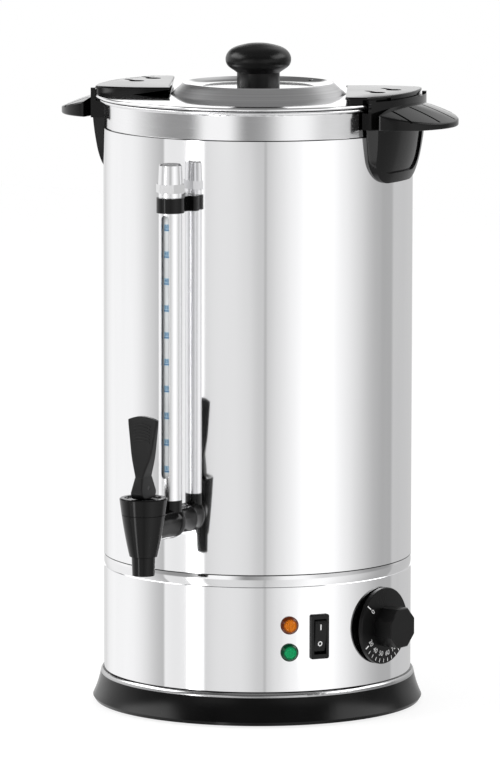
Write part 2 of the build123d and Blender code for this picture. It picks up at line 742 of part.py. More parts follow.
with BuildPart() as gland_nut:
    with BuildSketch(gland_wall.offset(-SHEET)):
        RegularPolygon(GLAND_NUT_R, 6, major_radius=False)
        Circle(GLAND_R + RUN_FIT, mode=Mode.SUBTRACT)
    extrude(amount=-5.0)
    with BuildSketch(Plane.XY):
        Circle(BODY_IN_R - SEAT_FIT)
    extrude(amount=HOUSING_TOP_Z, mode=Mode.INTERSECT)
finish(gland_nut, "gland_nut")

# ======================= lamps, switch and dial =======================


def pilot_lamp(name, height):
    """Translucent lamp cap: a flange, a cone and a faceted dome on a round stem."""
    wall = wall_plane(LAMP_ANGLE, height)
    with BuildPart() as lamp:
        with BuildSketch(wall):
            Circle(LAMP_R)
        extrude(amount=LAMP_FLANGE_T)
        with BuildSketch(wall.offset(LAMP_FLANGE_T)):
            Circle(LAMP_R - 0.3)
        extrude(amount=LAMP_CONE_H, taper=30)
        with BuildSketch(wall.offset(LAMP_FLANGE_T + LAMP_CONE_H)):
            RegularPolygon(LAMP_DOME_R, 12)
        extrude(amount=LAMP_DOME_H, taper=35)
        with BuildSketch(wall):
            Circle(LAMP_STEM_R)
        extrude(amount=-LAMP_STEM_L)
    finish(lamp, name)


pilot_lamp("lamp_amber", LAMP_AMBER_Z)
pilot_lamp("lamp_green", LAMP_GREEN_Z)

with BuildPart() as lamp_clips:
    for lamp_z in (LAMP_AMBER_Z, LAMP_GREEN_Z):
        with BuildSketch(wall_plane(LAMP_ANGLE, lamp_z).offset(-1.2)):
            Circle(LAMP_CLIP_R)
            Circle(LAMP_STEM_R + RUN_FIT, mode=Mode.SUBTRACT)
        extrude(amount=-LAMP_CLIP_T)
finish(lamp_clips, "lamp_clips")

switch_wall = wall_plane(SWITCH_ANGLE, SWITCH_Z)
rocker_pivot = switch_wall.offset(SWITCH_PROUD - ROCKER_PIVOT_DEPTH)
trunnion_plane = Plane(origin=rocker_pivot.origin, x_dir=rocker_pivot.z_dir, z_dir=rocker_pivot.x_dir)
with BuildPart() as switch_bezel:
    with BuildSketch(switch_wall):
        RectangleRounded(SWITCH_W, SWITCH_H, 1.5)
    extrude(amount=SWITCH_PROUD)
    chamfer(switch_bezel.faces().sort_by(outward_axis(switch_wall))[-1].edges(), 0.6)
    with BuildSketch(switch_wall):
        Rectangle(SWITCH_W - 2 * SWITCH_LIP, SWITCH_H - 2 * SWITCH_LIP - 0.4)
    extrude(amount=-SWITCH_DEPTH)
    with BuildSketch(switch_wall.offset(SWITCH_PROUD)):
        Rectangle(ROCKER_W + 2 * MOVE_GAP, ROCKER_H + 2 * MOVE_GAP)
    extrude(amount=-12, mode=Mode.SUBTRACT)
    with BuildSketch(trunnion_plane):
        Circle(TRUNNION_R + RUN_FIT)
    extrude(amount=ROCKER_W / 2 + TRUNNION_L + 0.1, both=True, mode=Mode.SUBTRACT)
    with BuildSketch(switch_wall.offset(-SWITCH_DEPTH)):
        with GridLocations(1, 9, 1, 3):
            Rectangle(TAB_W, TAB_T)
    extrude(amount=-TAB_L)
finish(switch_bezel, "switch_bezel")

# The rocker's face has two flat halves that meet on a ridge over the pivot, and its ends are
# rounded. It rests with its lower end pressed in.
rocker_front = (
    rocker_pivot.z_dir * cos(radians(ROCKER_TILT))
    - rocker_pivot.y_dir * sin(radians(ROCKER_TILT))
)
rocker_side = Plane(
    origin=rocker_pivot.origin, x_dir=rocker_front, z_dir=rocker_pivot.x_dir
)
with BuildPart() as switch_rocker:
    rocker_half = ROCKER_H / 2
    rocker_face = ROCKER_PIVOT_DEPTH - 0.3
    with BuildSketch(rocker_side):
        with BuildLine():
            Polyline(
                (rocker_face, rocker_half - ROCKER_END_R),
                (rocker_face + ROCKER_RIDGE, 0),
                (rocker_face, -rocker_half + ROCKER_END_R),
            )
            RadiusArc(
                (rocker_face, -rocker_half + ROCKER_END_R),
                (rocker_face - ROCKER_END_R, -rocker_half),
                ROCKER_END_R,
            )
            Polyline(
                (rocker_face - ROCKER_END_R, -rocker_half),
                (rocker_face - 4.0, -rocker_half + 2.0),
                (-5.0, -2.5),
                (-5.0, 2.5),
                (rocker_face - 4.0, rocker_half - 2.0),
                (rocker_face - ROCKER_END_R, rocker_half),
            )
            RadiusArc(
                (rocker_face - ROCKER_END_R, rocker_half),
                (rocker_face, rocker_half - ROCKER_END_R),
                ROCKER_END_R,
            )
        make_face()
    extrude(amount=ROCKER_W / 2, both=True)
    with BuildSketch(trunnion_plane):
        Circle(TRUNNION_R)
    extrude(amount=ROCKER_W / 2 + TRUNNION_L, both=True)
finish(switch_rocker, "switch_rocker")

with BuildPart() as thermostat_spindle:
    with BuildSketch(dial_wall.offset(-17)):
        Circle(SPINDLE_R)
    extrude(amount=17)
    with BuildSketch(dial_wall):
        Circle(SPINDLE_R)
        with Locations((0, SPINDLE_R)):
            Rectangle(2 * SPINDLE_R, 0.8 * SPINDLE_R, mode=Mode.SUBTRACT)
    extrude(amount=SPINDLE_L)
finish(thermostat_spindle, "thermostat_spindle")

with BuildPart() as thermostat_knob:
    grip_foot = DIAL_GAP + DIAL_T + DIAL_CROWN
    with BuildSketch(section_plane(dial_wall)):
        with BuildLine():
            Polyline(
                (0, DIAL_GAP),
                (DIAL_R, DIAL_GAP),
                (DIAL_R, DIAL_GAP + DIAL_T - DIAL_BEVEL),
                (DIAL_R - DIAL_BEVEL, DIAL_GAP + DIAL_T),
                (GRIP_AF / 2 + 1.0, grip_foot),
                (0, grip_foot),
                close=True,
            )
        make_face()
    revolve(axis=outward_axis(dial_wall))
    with BuildSketch(dial_wall.offset(grip_foot)):
        RegularPolygon(GRIP_AF / 2, 8, major_radius=False, rotation=22.5)
    extrude(amount=GRIP_L, taper=-1.5)
    chamfer(thermostat_knob.faces().sort_by(outward_axis(dial_wall))[-1].edges(), 0.7)
    with BuildSketch(dial_wall.offset(DIAL_GAP)):
        Circle(SPINDLE_R + RUN_FIT)
        with Locations((0, SPINDLE_R + RUN_FIT)):
            Rectangle(2 * SPINDLE_R + 1, 0.8 * SPINDLE_R, mode=Mode.SUBTRACT)
    extrude(amount=SPINDLE_L - 0.6, mode=Mode.SUBTRACT)
    with BuildSketch(dial_wall.offset(DIAL_GAP)):
        Circle(BUSH_R + 2.5)
    extrude(amount=DIAL_T / 2, mode=Mode.SUBTRACT)
finish(thermostat_knob, "thermostat_knob")

# ======================= tap =======================

tap_axis = upright_axis(0, TAP_Y)
front_wall = wall_plane(0, TAP_Z)
tank_face = front_wall.offset(TANK_R - BODY_R)

with BuildPart() as gauge_tee:
    with BuildSketch(front_wall.offset(1.0)):
        Circle(ARM_R)
    extrude(amount=ARM_END - BODY_R - 1.0)
    with BuildSketch(Plane.XY.offset(TAP_Z)):
        with Locations((0, -GAUGE_R)):
            Circle(GUARD_R)
    extrude(amount=GUARD_Z - TAP_Z)
    with Locations((0, -GAUGE_R, TAP_Z)):
        Sphere(ELBOW_R)
    with BuildSketch(front_wall.offset(1.0)):
        Circle(SHANK_R)
    extrude(amount=TANK_R - BODY_R - SHANK_TAIL)
    with BuildSketch(tank_face.offset(-SHANK_TAIL)):
        Circle(PASSAGE_R)
    extrude(amount=SHANK_TAIL + ARM_END - TANK_R, mode=Mode.SUBTRACT)
    with BuildSketch(Plane.XY.offset(TAP_Z)):
        with Locations((0, -GAUGE_R)):
            Circle(GLASS_R - GLASS_WALL)
    extrude(amount=GUARD_Z - TAP_Z, mode=Mode.SUBTRACT)
    with BuildSketch(Plane.XY.offset(GUARD_Z - SOCKET_DEPTH)):
        with Locations((0, -GAUGE_R)):
            Circle(GLASS_R + SEAL_W)
    extrude(amount=SOCKET_DEPTH, mode=Mode.SUBTRACT)
finish(gauge_tee, "gauge_tee")

# One washer fills the crescent between the arm and the round shell, the other one does so
# inside the tank.
with BuildPart() as tap_washers:
    with BuildSketch(front_wall.offset(1.0)):
        Circle(ARM_R)
        Circle(SHANK_R + RUN_FIT, mode=Mode.SUBTRACT)
    extrude(amount=-3.0)
    with BuildSketch(Plane.XY.offset(TAP_Z - 2 * ARM_R)):
        Circle(BODY_R)
    extrude(amount=4 * ARM_R, mode=Mode.SUBTRACT)
    with BuildSketch(tank_face):
        Circle(ARM_R + 1.0)
        Circle(SHANK_R + RUN_FIT, mode=Mode.SUBTRACT)
    extrude(amount=-WASHER_T)
    with BuildSketch(Plane.XY.offset(TAP_Z - 2 * ARM_R)):
        Circle(BODY_R)
        Circle(TANK_R - SHEET, mode=Mode.SUBTRACT)
    extrude(amount=4 * ARM_R, mode=Mode.SUBTRACT)
finish(tap_washers, "tap_washers")

with BuildPart() as tap_nut:
    with BuildSketch(tank_face.offset(-WASHER_T)):
        RegularPolygon(TAP_NUT_R, 6, major_radius=False)
        Circle(SHANK_R + RUN_FIT, mode=Mode.SUBTRACT)
    extrude(amount=-TAP_NUT_H)
finish(tap_nut, "tap_nut")

with BuildPart() as tap_body:
    with BuildSketch(upright_plane(0, TAP_Y)):
        with BuildLine():
            Polyline(
                (0, SPOUT_Z),
                (SPOUT_R, SPOUT_Z),
                (SPOUT_R + 0.5, CONE_Z - 0.6),
                (CONE_R, CONE_Z),
            )
            ThreePointArc(
                (CONE_R, CONE_Z),
                ((CONE_R + CONE_TOP_R) / 2 + 0.35, (CONE_Z + CAP_Z) / 2),
                (CONE_TOP_R, CAP_Z),
            )
            Polyline(
                (CONE_TOP_R, CAP_Z),
                (THREAD_R, CAP_Z),
                (THREAD_R, THREAD_TOP_Z),
                (0, THREAD_TOP_Z),
                (0, SPOUT_Z),
            )
        make_face()
    revolve(axis=tap_axis)
    with BuildSketch(front_wall.offset(ARM_END - BODY_R)):
        Circle(ARM_R)
    extrude(amount=TAP_R - ARM_END - 4)
    chamber_r = CONE_TOP_R - CHAMBER_INSET
    revolve(
        profile(
            [
                (0, SPOUT_Z),
                (SPOUT_R - SPOUT_WALL, SPOUT_Z),
                (SPOUT_R - SPOUT_WALL - 0.4, SEAT_Z),
                (SEAT_R - 1.2, SEAT_Z),
                (SEAT_R - 0.6, SEAT_Z - 2.5),
                (SEAT_R + 1.0, SEAT_Z - 2.5),
                (chamber_r - 1.5, SEAT_Z + 6),
                (chamber_r, SEAT_Z + 12),
                (chamber_r, THREAD_TOP_Z),
                (0, THREAD_TOP_Z),
            ],
            0,
            TAP_Y,
        ),
        axis=tap_axis,
        mode=Mode.SUBTRACT,
    )
    with BuildSketch(front_wall.offset(ARM_END - BODY_R)):
        Circle(PASSAGE_R)
    extrude(amount=TAP_R - ARM_END, mode=Mode.SUBTRACT)
finish(tap_body, "tap_body")

with BuildPart() as tap_cap:
    revolve(
        profile(
            [
                (THREAD_R + SEAT_FIT, CAP_Z + 0.4),
                (CONE_TOP_R + 0.1, CAP_Z + 0.4),
                (CAP_TOP_R, CAP_TOP_Z - 0.8),
                (CAP_TOP_R - 0.8, CAP_TOP_Z),
                (CAP_TOP_R - CAP_RIM_W, CAP_TOP_Z),
                (CAP_TOP_R - CAP_RIM_W - 0.8, CAP_TOP_Z - CAP_DISH),
                (STEM_R + MOVE_GAP, CAP_TOP_Z - CAP_DISH),
                (STEM_R + MOVE_GAP, THREAD_TOP_Z + 0.6),
                (THREAD_R + SEAT_FIT, THREAD_TOP_Z + 0.6),
            ],
            0,
            TAP_Y,
        ),
        axis=tap_axis,
    )
finish(tap_cap, "tap_cap")

with BuildPart() as tap_stem:
    revolve(
        profile(
            [
                (0, SEAT_Z + 2.5),
                (STEM_R + 1.6, SEAT_Z + 2.5),
                (STEM_R + 1.6, SEAT_Z + 5.0),
                (STEM_R, SEAT_Z + 5.0),
                (STEM_R, SPRING_SEAT_Z - SPRING_SEAT_T),
                (STEM_R + SPRING_GAP + 1.3, SPRING_SEAT_Z - SPRING_SEAT_T),
                (STEM_R + SPRING_GAP + 1.3, SPRING_SEAT_Z),
                (STEM_R, SPRING_SEAT_Z),
                (STEM_R, PIN_Z),
                (0, PIN_Z),
            ],
            0,
            TAP_Y,
        ),
        axis=tap_axis,
    )
    with BuildSketch(Plane.YZ):
        with Locations((TAP_Y, PIN_Z)):
            Circle(PIN_R + SEAT_FIT)
    extrude(amount=5, both=True, mode=Mode.SUBTRACT)
    with BuildSketch(Plane.YZ):
        with Locations((TAP_Y, PIN_Z)):
            Circle(STEM_EYE_R)
            Circle(PIN_R + SEAT_FIT, mode=Mode.SUBTRACT)
    extrude(amount=STEM_R, both=True)
finish(tap_stem, "tap_stem")

with BuildPart() as tap_seat_cup:
    revolve(
        profile(
            [
                (0, SEAT_Z + 0.05),
                (SEAT_R - 0.2, SEAT_Z + 0.05),
                (SEAT_R + 0.6, SEAT_Z + 1.4),
                (SEAT_R - 0.4, SEAT_Z + 7.0),
                (STEM_R, SEAT_Z + 8.2),
                (STEM_R, SEAT_Z + 5.0),
                (STEM_R + 1.6, SEAT_Z + 5.0),
                (STEM_R + 1.6, SEAT_Z + 2.5),
                (0, SEAT_Z + 2.5),
            ],
            0,
            TAP_Y,
        ),
        axis=tap_axis,
    )
finish(tap_seat_cup, "tap_seat_cup")

with BuildPart() as tap_spring:
    spring_top_z = THREAD_TOP_Z + 0.6 - SPRING_WIRE_R
    spring_pitch = (spring_top_z - SPRING_SEAT_Z - SPRING_WIRE_R) / SPRING_TURNS
    with BuildLine() as coil:
        Helix(
            spring_pitch,
            spring_pitch * SPRING_TURNS,
            STEM_R + SPRING_GAP,
            center=(0, TAP_Y, SPRING_SEAT_Z + SPRING_WIRE_R + RUN_FIT),
        )
    with BuildSketch(Plane(origin=coil.line @ 0, z_dir=coil.line % 0)):
        Circle(SPRING_WIRE_R)
    sweep()
finish(tap_spring, "tap_spring")

with BuildPart() as lever_pin:
    with BuildSketch(Plane.YZ):
        with Locations((TAP_Y, PIN_Z)):
            Circle(PIN_R)
    extrude(amount=0.4 * LEVER_FOOT_W, both=True)
finish(lever_pin, "lever_pin")


def lever_section(height, width, depth):
    """Rounded rectangle of the lever's paddle at one height."""
    with BuildSketch(Plane.XY.offset(height)) as section_sketch:
        with Locations((0, TAP_Y)):
            RectangleRounded(width, depth, LEVER_CORNER)
    return section_sketch.sketch


def lever_foot():
    """Forked foot of the lever: it widens downwards and has round corners to roll on the cap."""
    half_d = LEVER_FOOT_D / 2
    corner_z = LEVER_FOOT_Z + LEVER_FOOT_CORNER
    with BuildPart() as foot:
        with BuildSketch(Plane.YZ):
            with BuildLine():
                RadiusArc(
                    (TAP_Y + half_d - LEVER_FOOT_CORNER, LEVER_FOOT_Z),
                    (TAP_Y + half_d, corner_z),
                    -LEVER_FOOT_CORNER,
                )
                Polyline(
                    (TAP_Y + half_d, corner_z),
                    (TAP_Y + LEVER_NECK_D / 2, LEVER_NECK_Z),
                    (TAP_Y - LEVER_NECK_D / 2, LEVER_NECK_Z),
                    (TAP_Y - half_d, corner_z),
                )
                RadiusArc(
                    (TAP_Y - half_d, corner_z),
                    (TAP_Y - half_d + LEVER_FOOT_CORNER, LEVER_FOOT_Z),
                    -LEVER_FOOT_CORNER,
                )
                Line(
                    (TAP_Y - half_d + LEVER_FOOT_CORNER, LEVER_FOOT_Z),
                    (TAP_Y + half_d - LEVER_FOOT_CORNER, LEVER_FOOT_Z),
                )
            make_face()
        extrude(amount=LEVER_FOOT_W, both=True)
        with BuildSketch(upright_plane()):
            with BuildLine():
                Polyline(
                    (-LEVER_FOOT_W / 2, LEVER_FOOT_Z),
                    (LEVER_FOOT_W / 2, LEVER_FOOT_Z),
                    (LEVER_NECK_W / 2, LEVER_NECK_Z),
                    (-LEVER_NECK_W / 2, LEVER_NECK_Z),
                    close=True,
                )
            make_face()
        extrude(amount=TAP_R + LEVER_FOOT_D, mode=Mode.INTERSECT)
        cheeks = foot.faces().filter_by(lambda f: abs(f.normal_at().X) > 0.9)
        fillet(cheeks.edges().filter_by(lambda e: e.center().Z < LEVER_NECK_Z - 0.1), LEVER_CORNER)
    return foot.part


# A narrow deep foot rides on the cap as a cam; above its neck the lever turns into a wide
# thin paddle with finger ridges on the front.
with BuildPart() as tap_lever:
    add(lever_foot())
    loft(
        [
            lever_section(LEVER_NECK_Z - 3.0, LEVER_NECK_W - 0.6, LEVER_NECK_D - 0.6),
            lever_section(LEVER_NECK_Z, LEVER_NECK_W - 0.3, LEVER_NECK_D - 0.3),
            lever_section(LEVER_NECK_Z + 10, 12.5, 10.2),
            lever_section(LEVER_NECK_Z + 24, 18.6, 6.2),
            lever_section(LEVER_NECK_Z + 36, LEVER_TOP_W - 0.6, LEVER_TOP_T + 0.6),
            lever_section(LEVER_TOP_Z, LEVER_TOP_W, LEVER_TOP_T),
        ]
    )
    with BuildSketch(Plane.XZ):
        with Locations((0, LEVER_TOP_Z - LEVER_TOP_ARC_R)):
            Circle(LEVER_TOP_ARC_R)
            with Locations((0, -LEVER_TOP_ARC_R)):
                Rectangle(3 * LEVER_TOP_W, 3 * LEVER_TOP_ARC_R)
    extrude(amount=TAP_R + LEVER_FOOT_D, mode=Mode.INTERSECT)
    for ridge in range(RIDGE_COUNT):
        ridge_z = LEVER_TOP_Z - 5.1 - RIDGE_PITCH * ridge
        with BuildSketch(Plane.XZ.offset(TAP_R)):
            with BuildLine():
                ThreePointArc(
                    (-RIDGE_HALF_W, ridge_z - RIDGE_FALL),
                    (0, ridge_z),
                    (RIDGE_HALF_W, ridge_z - RIDGE_FALL),
                )
                Line(
                    (RIDGE_HALF_W, ridge_z - RIDGE_FALL),
                    (RIDGE_HALF_W, ridge_z - RIDGE_FALL - RIDGE_W),
                )
                ThreePointArc(
                    (RIDGE_HALF_W, ridge_z - RIDGE_FALL - RIDGE_W),
                    (0, ridge_z - RIDGE_W),
                    (-RIDGE_HALF_W, ridge_z - RIDGE_FALL - RIDGE_W),
                )
                Line(
                    (-RIDGE_HALF_W, ridge_z - RIDGE_FALL - RIDGE_W),
                    (-RIDGE_HALF_W, ridge_z - RIDGE_FALL),
                )
            make_face()
        extrude(amount=LEVER_TOP_T / 2 + RIDGE_H + PADDLE_GROWTH * ridge)
    with BuildSketch(Plane.YZ):
        with BuildLine():
            slot_half = STEM_EYE_R + MOVE_GAP
            slot_low_z = LEVER_FOOT_Z - 1
            swing = radians(LEVER_SWING)
            slot_front = (PIN_Z - slot_low_z) * tan(swing) + STEM_R / cos(swing) + MOVE_GAP
            Polyline(
                (TAP_Y - slot_front, slot_low_z),
                (TAP_Y - slot_half - 2.5, PIN_Z - 1),
                (TAP_Y - slot_half, PIN_Z + slot_half),
                (TAP_Y + slot_half, PIN_Z + slot_half),
                (TAP_Y + slot_half + 2.5, PIN_Z - 1),
                (TAP_Y + slot_half + 2.5, slot_low_z),
                close=True,
            )
        make_face()
    extrude(amount=STEM_R + 0.3, both=True, mode=Mode.SUBTRACT)
    with BuildSketch(Plane.YZ):
        with Locations((TAP_Y, PIN_Z)):
            Circle(PIN_R + RUN_FIT)
    extrude(amount=LEVER_FOOT_W, both=True, mode=Mode.SUBTRACT)
finish(tap_lever, "tap_lever")

# ======================= sight gauge =======================

gauge_axis = upright_axis(0, -GAUGE_R)

with BuildPart() as gauge_glass:
    revolve(
        profile(
            [
                (GLASS_R - GLASS_WALL, GLASS_Z),
                (GLASS_R, GLASS_Z),
                (GLASS_R, GLASS_TOP_Z),
                (GLASS_R - GLASS_WALL, GLASS_TOP_Z),
            ],
            0,
            -GAUGE_R,
        ),
        axis=gauge_axis,
    )
finish(gauge_glass, "gauge_glass")

with BuildPart() as gauge_seals:
    for seal_z in (GUARD_Z - SOCKET_DEPTH + 0.8, GUARD_TOP_Z - SEAL_H - 1.0):
        with BuildSketch(Plane.XY.offset(seal_z)):
            with Locations((0, -GAUGE_R)):
                Circle(GLASS_R + SEAL_W - RUN_FIT)
                Circle(GLASS_R + RUN_FIT, mode=Mode.SUBTRACT)
        extrude(amount=SEAL_H)
finish(gauge_seals, "gauge_seals")

with BuildPart() as gauge_guard:
    with BuildSketch(Plane.XY.offset(GUARD_Z)):
        with Locations((0, -GAUGE_R)):
            Circle(GUARD_R)
            Circle(GUARD_R - SHEET, mode=Mode.SUBTRACT)
    extrude(amount=GUARD_TOP_Z - GUARD_Z)
    with BuildSketch(Plane.XZ.offset(GAUGE_R)):
        with Locations((0, (SLOT_Z + SLOT_TOP_Z) / 2)):
            SlotOverall(SLOT_TOP_Z - SLOT_Z, SLOT_W, rotation=90)
    extrude(amount=GUARD_R + 2, mode=Mode.SUBTRACT)
finish(gauge_guard, "gauge_guard")

with BuildPart() as gauge_cap:
    revolve(
        profile(
            [
                (0, HEX_Z + HEX_H),
                (HEX_AF / 2 - 0.4, HEX_Z + HEX_H),
                (HEX_AF / 2 - 1.0, GAUGE_CAP_TOP_Z - 1.0),
                (HEX_AF / 2 - 2.0, GAUGE_CAP_TOP_Z),
                (0, GAUGE_CAP_TOP_Z),
            ],
            0,
            -GAUGE_R,
        ),
        axis=gauge_axis,
    )
    with BuildSketch(Plane.XY.offset(HEX_Z)):
        with Locations((0, -GAUGE_R)):
            RegularPolygon(HEX_AF / 2, 6, major_radius=False, rotation=HEX_TURN)
    extrude(amount=HEX_H)
    with BuildSketch(Plane.XY.offset(GUARD_TOP_Z - CAP_SPIGOT_L)):
        with Locations((0, -GAUGE_R)):
            Circle(GUARD_R - SHEET - SEAT_FIT)
    extrude(amount=HEX_Z - GUARD_TOP_Z + CAP_SPIGOT_L)
    with BuildSketch(Plane.XY.offset(GUARD_TOP_Z - CAP_SPIGOT_L)):
        with Locations((0, -GAUGE_R)):
            Circle(GLASS_R + SEAL_W)
    extrude(amount=GLASS_TOP_Z + 2 - GUARD_TOP_Z + CAP_SPIGOT_L, mode=Mode.SUBTRACT)
finish(gauge_cap, "gauge_cap")

with BuildPart() as gauge_clamp:
    with BuildSketch(Plane.XY.offset(CLAMP_Z)):
        with Locations((0, -GAUGE_R)):
            Circle(GUARD_R + CLAMP_WALL)
        with Locations((0, -(GAUGE_R + BODY_R) / 2)):
            Rectangle(CLAMP_NECK_W, GAUGE_R - BODY_R)
        with Locations((0, -BODY_R - 1)):
            RectangleRounded(CLAMP_FOOT_W, CLAMP_FOOT_T, 2)
        Circle(BODY_R + RUN_FIT, mode=Mode.SUBTRACT)
        with Locations((0, -GAUGE_R)):
            Circle(GUARD_R + RUN_FIT, mode=Mode.SUBTRACT)
    extrude(amount=CLAMP_H)
    with BuildSketch(wall_plane(0, CLAMP_MID_Z)):
        Circle(CLAMP_SCREW_R + SEAT_FIT)
    extrude(amount=CLAMP_SCREW_L - 0.5, mode=Mode.SUBTRACT)
finish(gauge_clamp, "gauge_clamp")

with BuildPart() as clamp_screw:
    clamp_head = wall_plane(0, CLAMP_MID_Z, BODY_IN_R - 0.3)
    with BuildSketch(clamp_head):
        Circle(CLAMP_SCREW_R)
    extrude(amount=CLAMP_SCREW_L)
    with BuildSketch(clamp_head):
        Circle(2 * CLAMP_SCREW_R)
    extrude(amount=-2.0)
finish(clamp_screw, "clamp_screw")

# ======================= handles =======================


def crest(angle, sink, edge_z):
    """Body between the domed top of a grip, sunk by this depth, and a height at its middle.

    The dome is turned about a level axis that runs outwards far below the grip.
    """
    a = radians(angle)
    tip = radians(CROWN_SPAN)
    outward = Vector(sin(a), -cos(a), 0)
    sideways = Vector(cos(a), sin(a), 0)
    dome_end = Plane(
        origin=(0, 0, CROWN_Z),
        x_dir=outward,
        z_dir=Vector(0, 0, 1) * sin(tip) - sideways * cos(tip),
    )
    root = (COLLAR_R, CROWN_R - sink)
    middle = (COLLAR_R + GRIP_MID_REACH, CROWN_R - GRIP_MID_DROP - sink)
    end = (GRIP_TIP_R + 1, GRIP_TIP_Z - CROWN_Z - sink)
    with BuildPart() as dome:
        with BuildSketch(dome_end):
            with BuildLine():
                ThreePointArc(root, middle, end)
                Polyline(end, (end[0], edge_z - CROWN_Z), (COLLAR_R, edge_z - CROWN_Z), root)
            make_face()
        revolve(axis=Axis((0, 0, CROWN_Z), outward), revolution_arc=2 * CROWN_SPAN)
    return dome.part


def grip_grooves(angle):
    """Finger grooves that run outwards over the top of a grip."""
    start = COLLAR_OUT_R + GROOVE_START
    end = GRIP_TIP_R - GROOVE_END
    with BuildPart() as grooves:
        for groove in range(GROOVE_COUNT):
            turn = (groove - (GROOVE_COUNT - 1) / 2) * GROOVE_PITCH
            with BuildSketch(plan_plane(angle + turn, GRIP_Z)):
                with Locations(((start + end) / 2, 0)):
                    SlotOverall(end - start, GROOVE_W)
            extrude(amount=GRIP_ROOT_Z - GRIP_Z)
        add(crest(angle, GROOVE_DEPTH, GRIP_ROOT_Z + 5), mode=Mode.INTERSECT)
    return grooves.part


def visor(angle):
    """Grip that stands out from the collar: oval in plan, domed, with a thin rounded lip."""
    with BuildPart() as visor_part:
        with BuildSketch(plan_plane(angle, GRIP_Z)):
            with Locations((BODY_R, 0)):
                Ellipse(GRIP_REACH, GRIP_HALF_W)
        extrude(amount=GRIP_ROOT_Z - GRIP_Z)
        add(crest(angle, 0, GRIP_Z - 12), mode=Mode.INTERSECT)
        with BuildSketch(Plane.XY.offset(GRIP_Z)):
            Circle(COLLAR_R + COLLAR_WALL / 2)
        extrude(amount=GRIP_ROOT_Z, mode=Mode.SUBTRACT)
        with BuildSketch(wall_plane(angle, GRIP_Z, 0)):
            with Locations((0, (GRIP_ROOT_Z - GRIP_Z) / 2)):
                Rectangle(2 * COLLAR_OUT_R * sin(radians(COLLAR_SPAN)), 2 * GRIP_ROOT_Z)
        extrude(amount=2 * COLLAR_R, mode=Mode.INTERSECT)
        outline = visor_part.edges().filter_by(lambda e: e.length > GRIP_HALF_W)
        lip = outline.filter_by(lambda e: Vector(e.center().X, e.center().Y, 0).length > COLLAR_OUT_R)
        fillet(lip, GRIP_EDGE_R)
        add(grip_grooves(angle), mode=Mode.SUBTRACT)
    return visor_part.part


def tongue_panel(angle):
    """Room of the shallow panel in the face of a tongue, under the grip."""
    low_z = TONGUE_BOTTOM_Z + PANEL_RISE
    reach = BODY_R + 2 * TONGUE_TOP_T
    with BuildPart() as panel:
        with BuildSketch(side_plane(angle - COLLAR_SPAN)):
            with BuildLine():
                ThreePointArc(
                    (BODY_R + TONGUE_BOTTOM_T - PANEL_DEPTH, TONGUE_BOTTOM_Z + 3),
                    (BODY_R + 0.75 * TONGUE_TOP_T - PANEL_DEPTH, TONGUE_BOTTOM_Z + 21),
                    (BODY_R + TONGUE_TOP_T - PANEL_DEPTH, GRIP_Z),
                )
                Polyline(
                    (BODY_R + TONGUE_TOP_T - PANEL_DEPTH, GRIP_Z),
                    (reach, GRIP_Z),
                    (reach, TONGUE_BOTTOM_Z + 3),
                    (BODY_R + TONGUE_BOTTOM_T - PANEL_DEPTH, TONGUE_BOTTOM_Z + 3),
                )
            make_face()
        revolve(axis=Axis.Z, revolution_arc=2 * COLLAR_SPAN)
        with BuildSketch(wall_plane(angle, low_z, 0)):
            with Locations((0, (GRIP_Z - low_z) / 2 + PANEL_CORNER_R / 2)):
                RectangleRounded(PANEL_W, GRIP_Z - low_z + PANEL_CORNER_R, PANEL_CORNER_R)
        extrude(amount=reach + 1, mode=Mode.INTERSECT)
    return panel.part


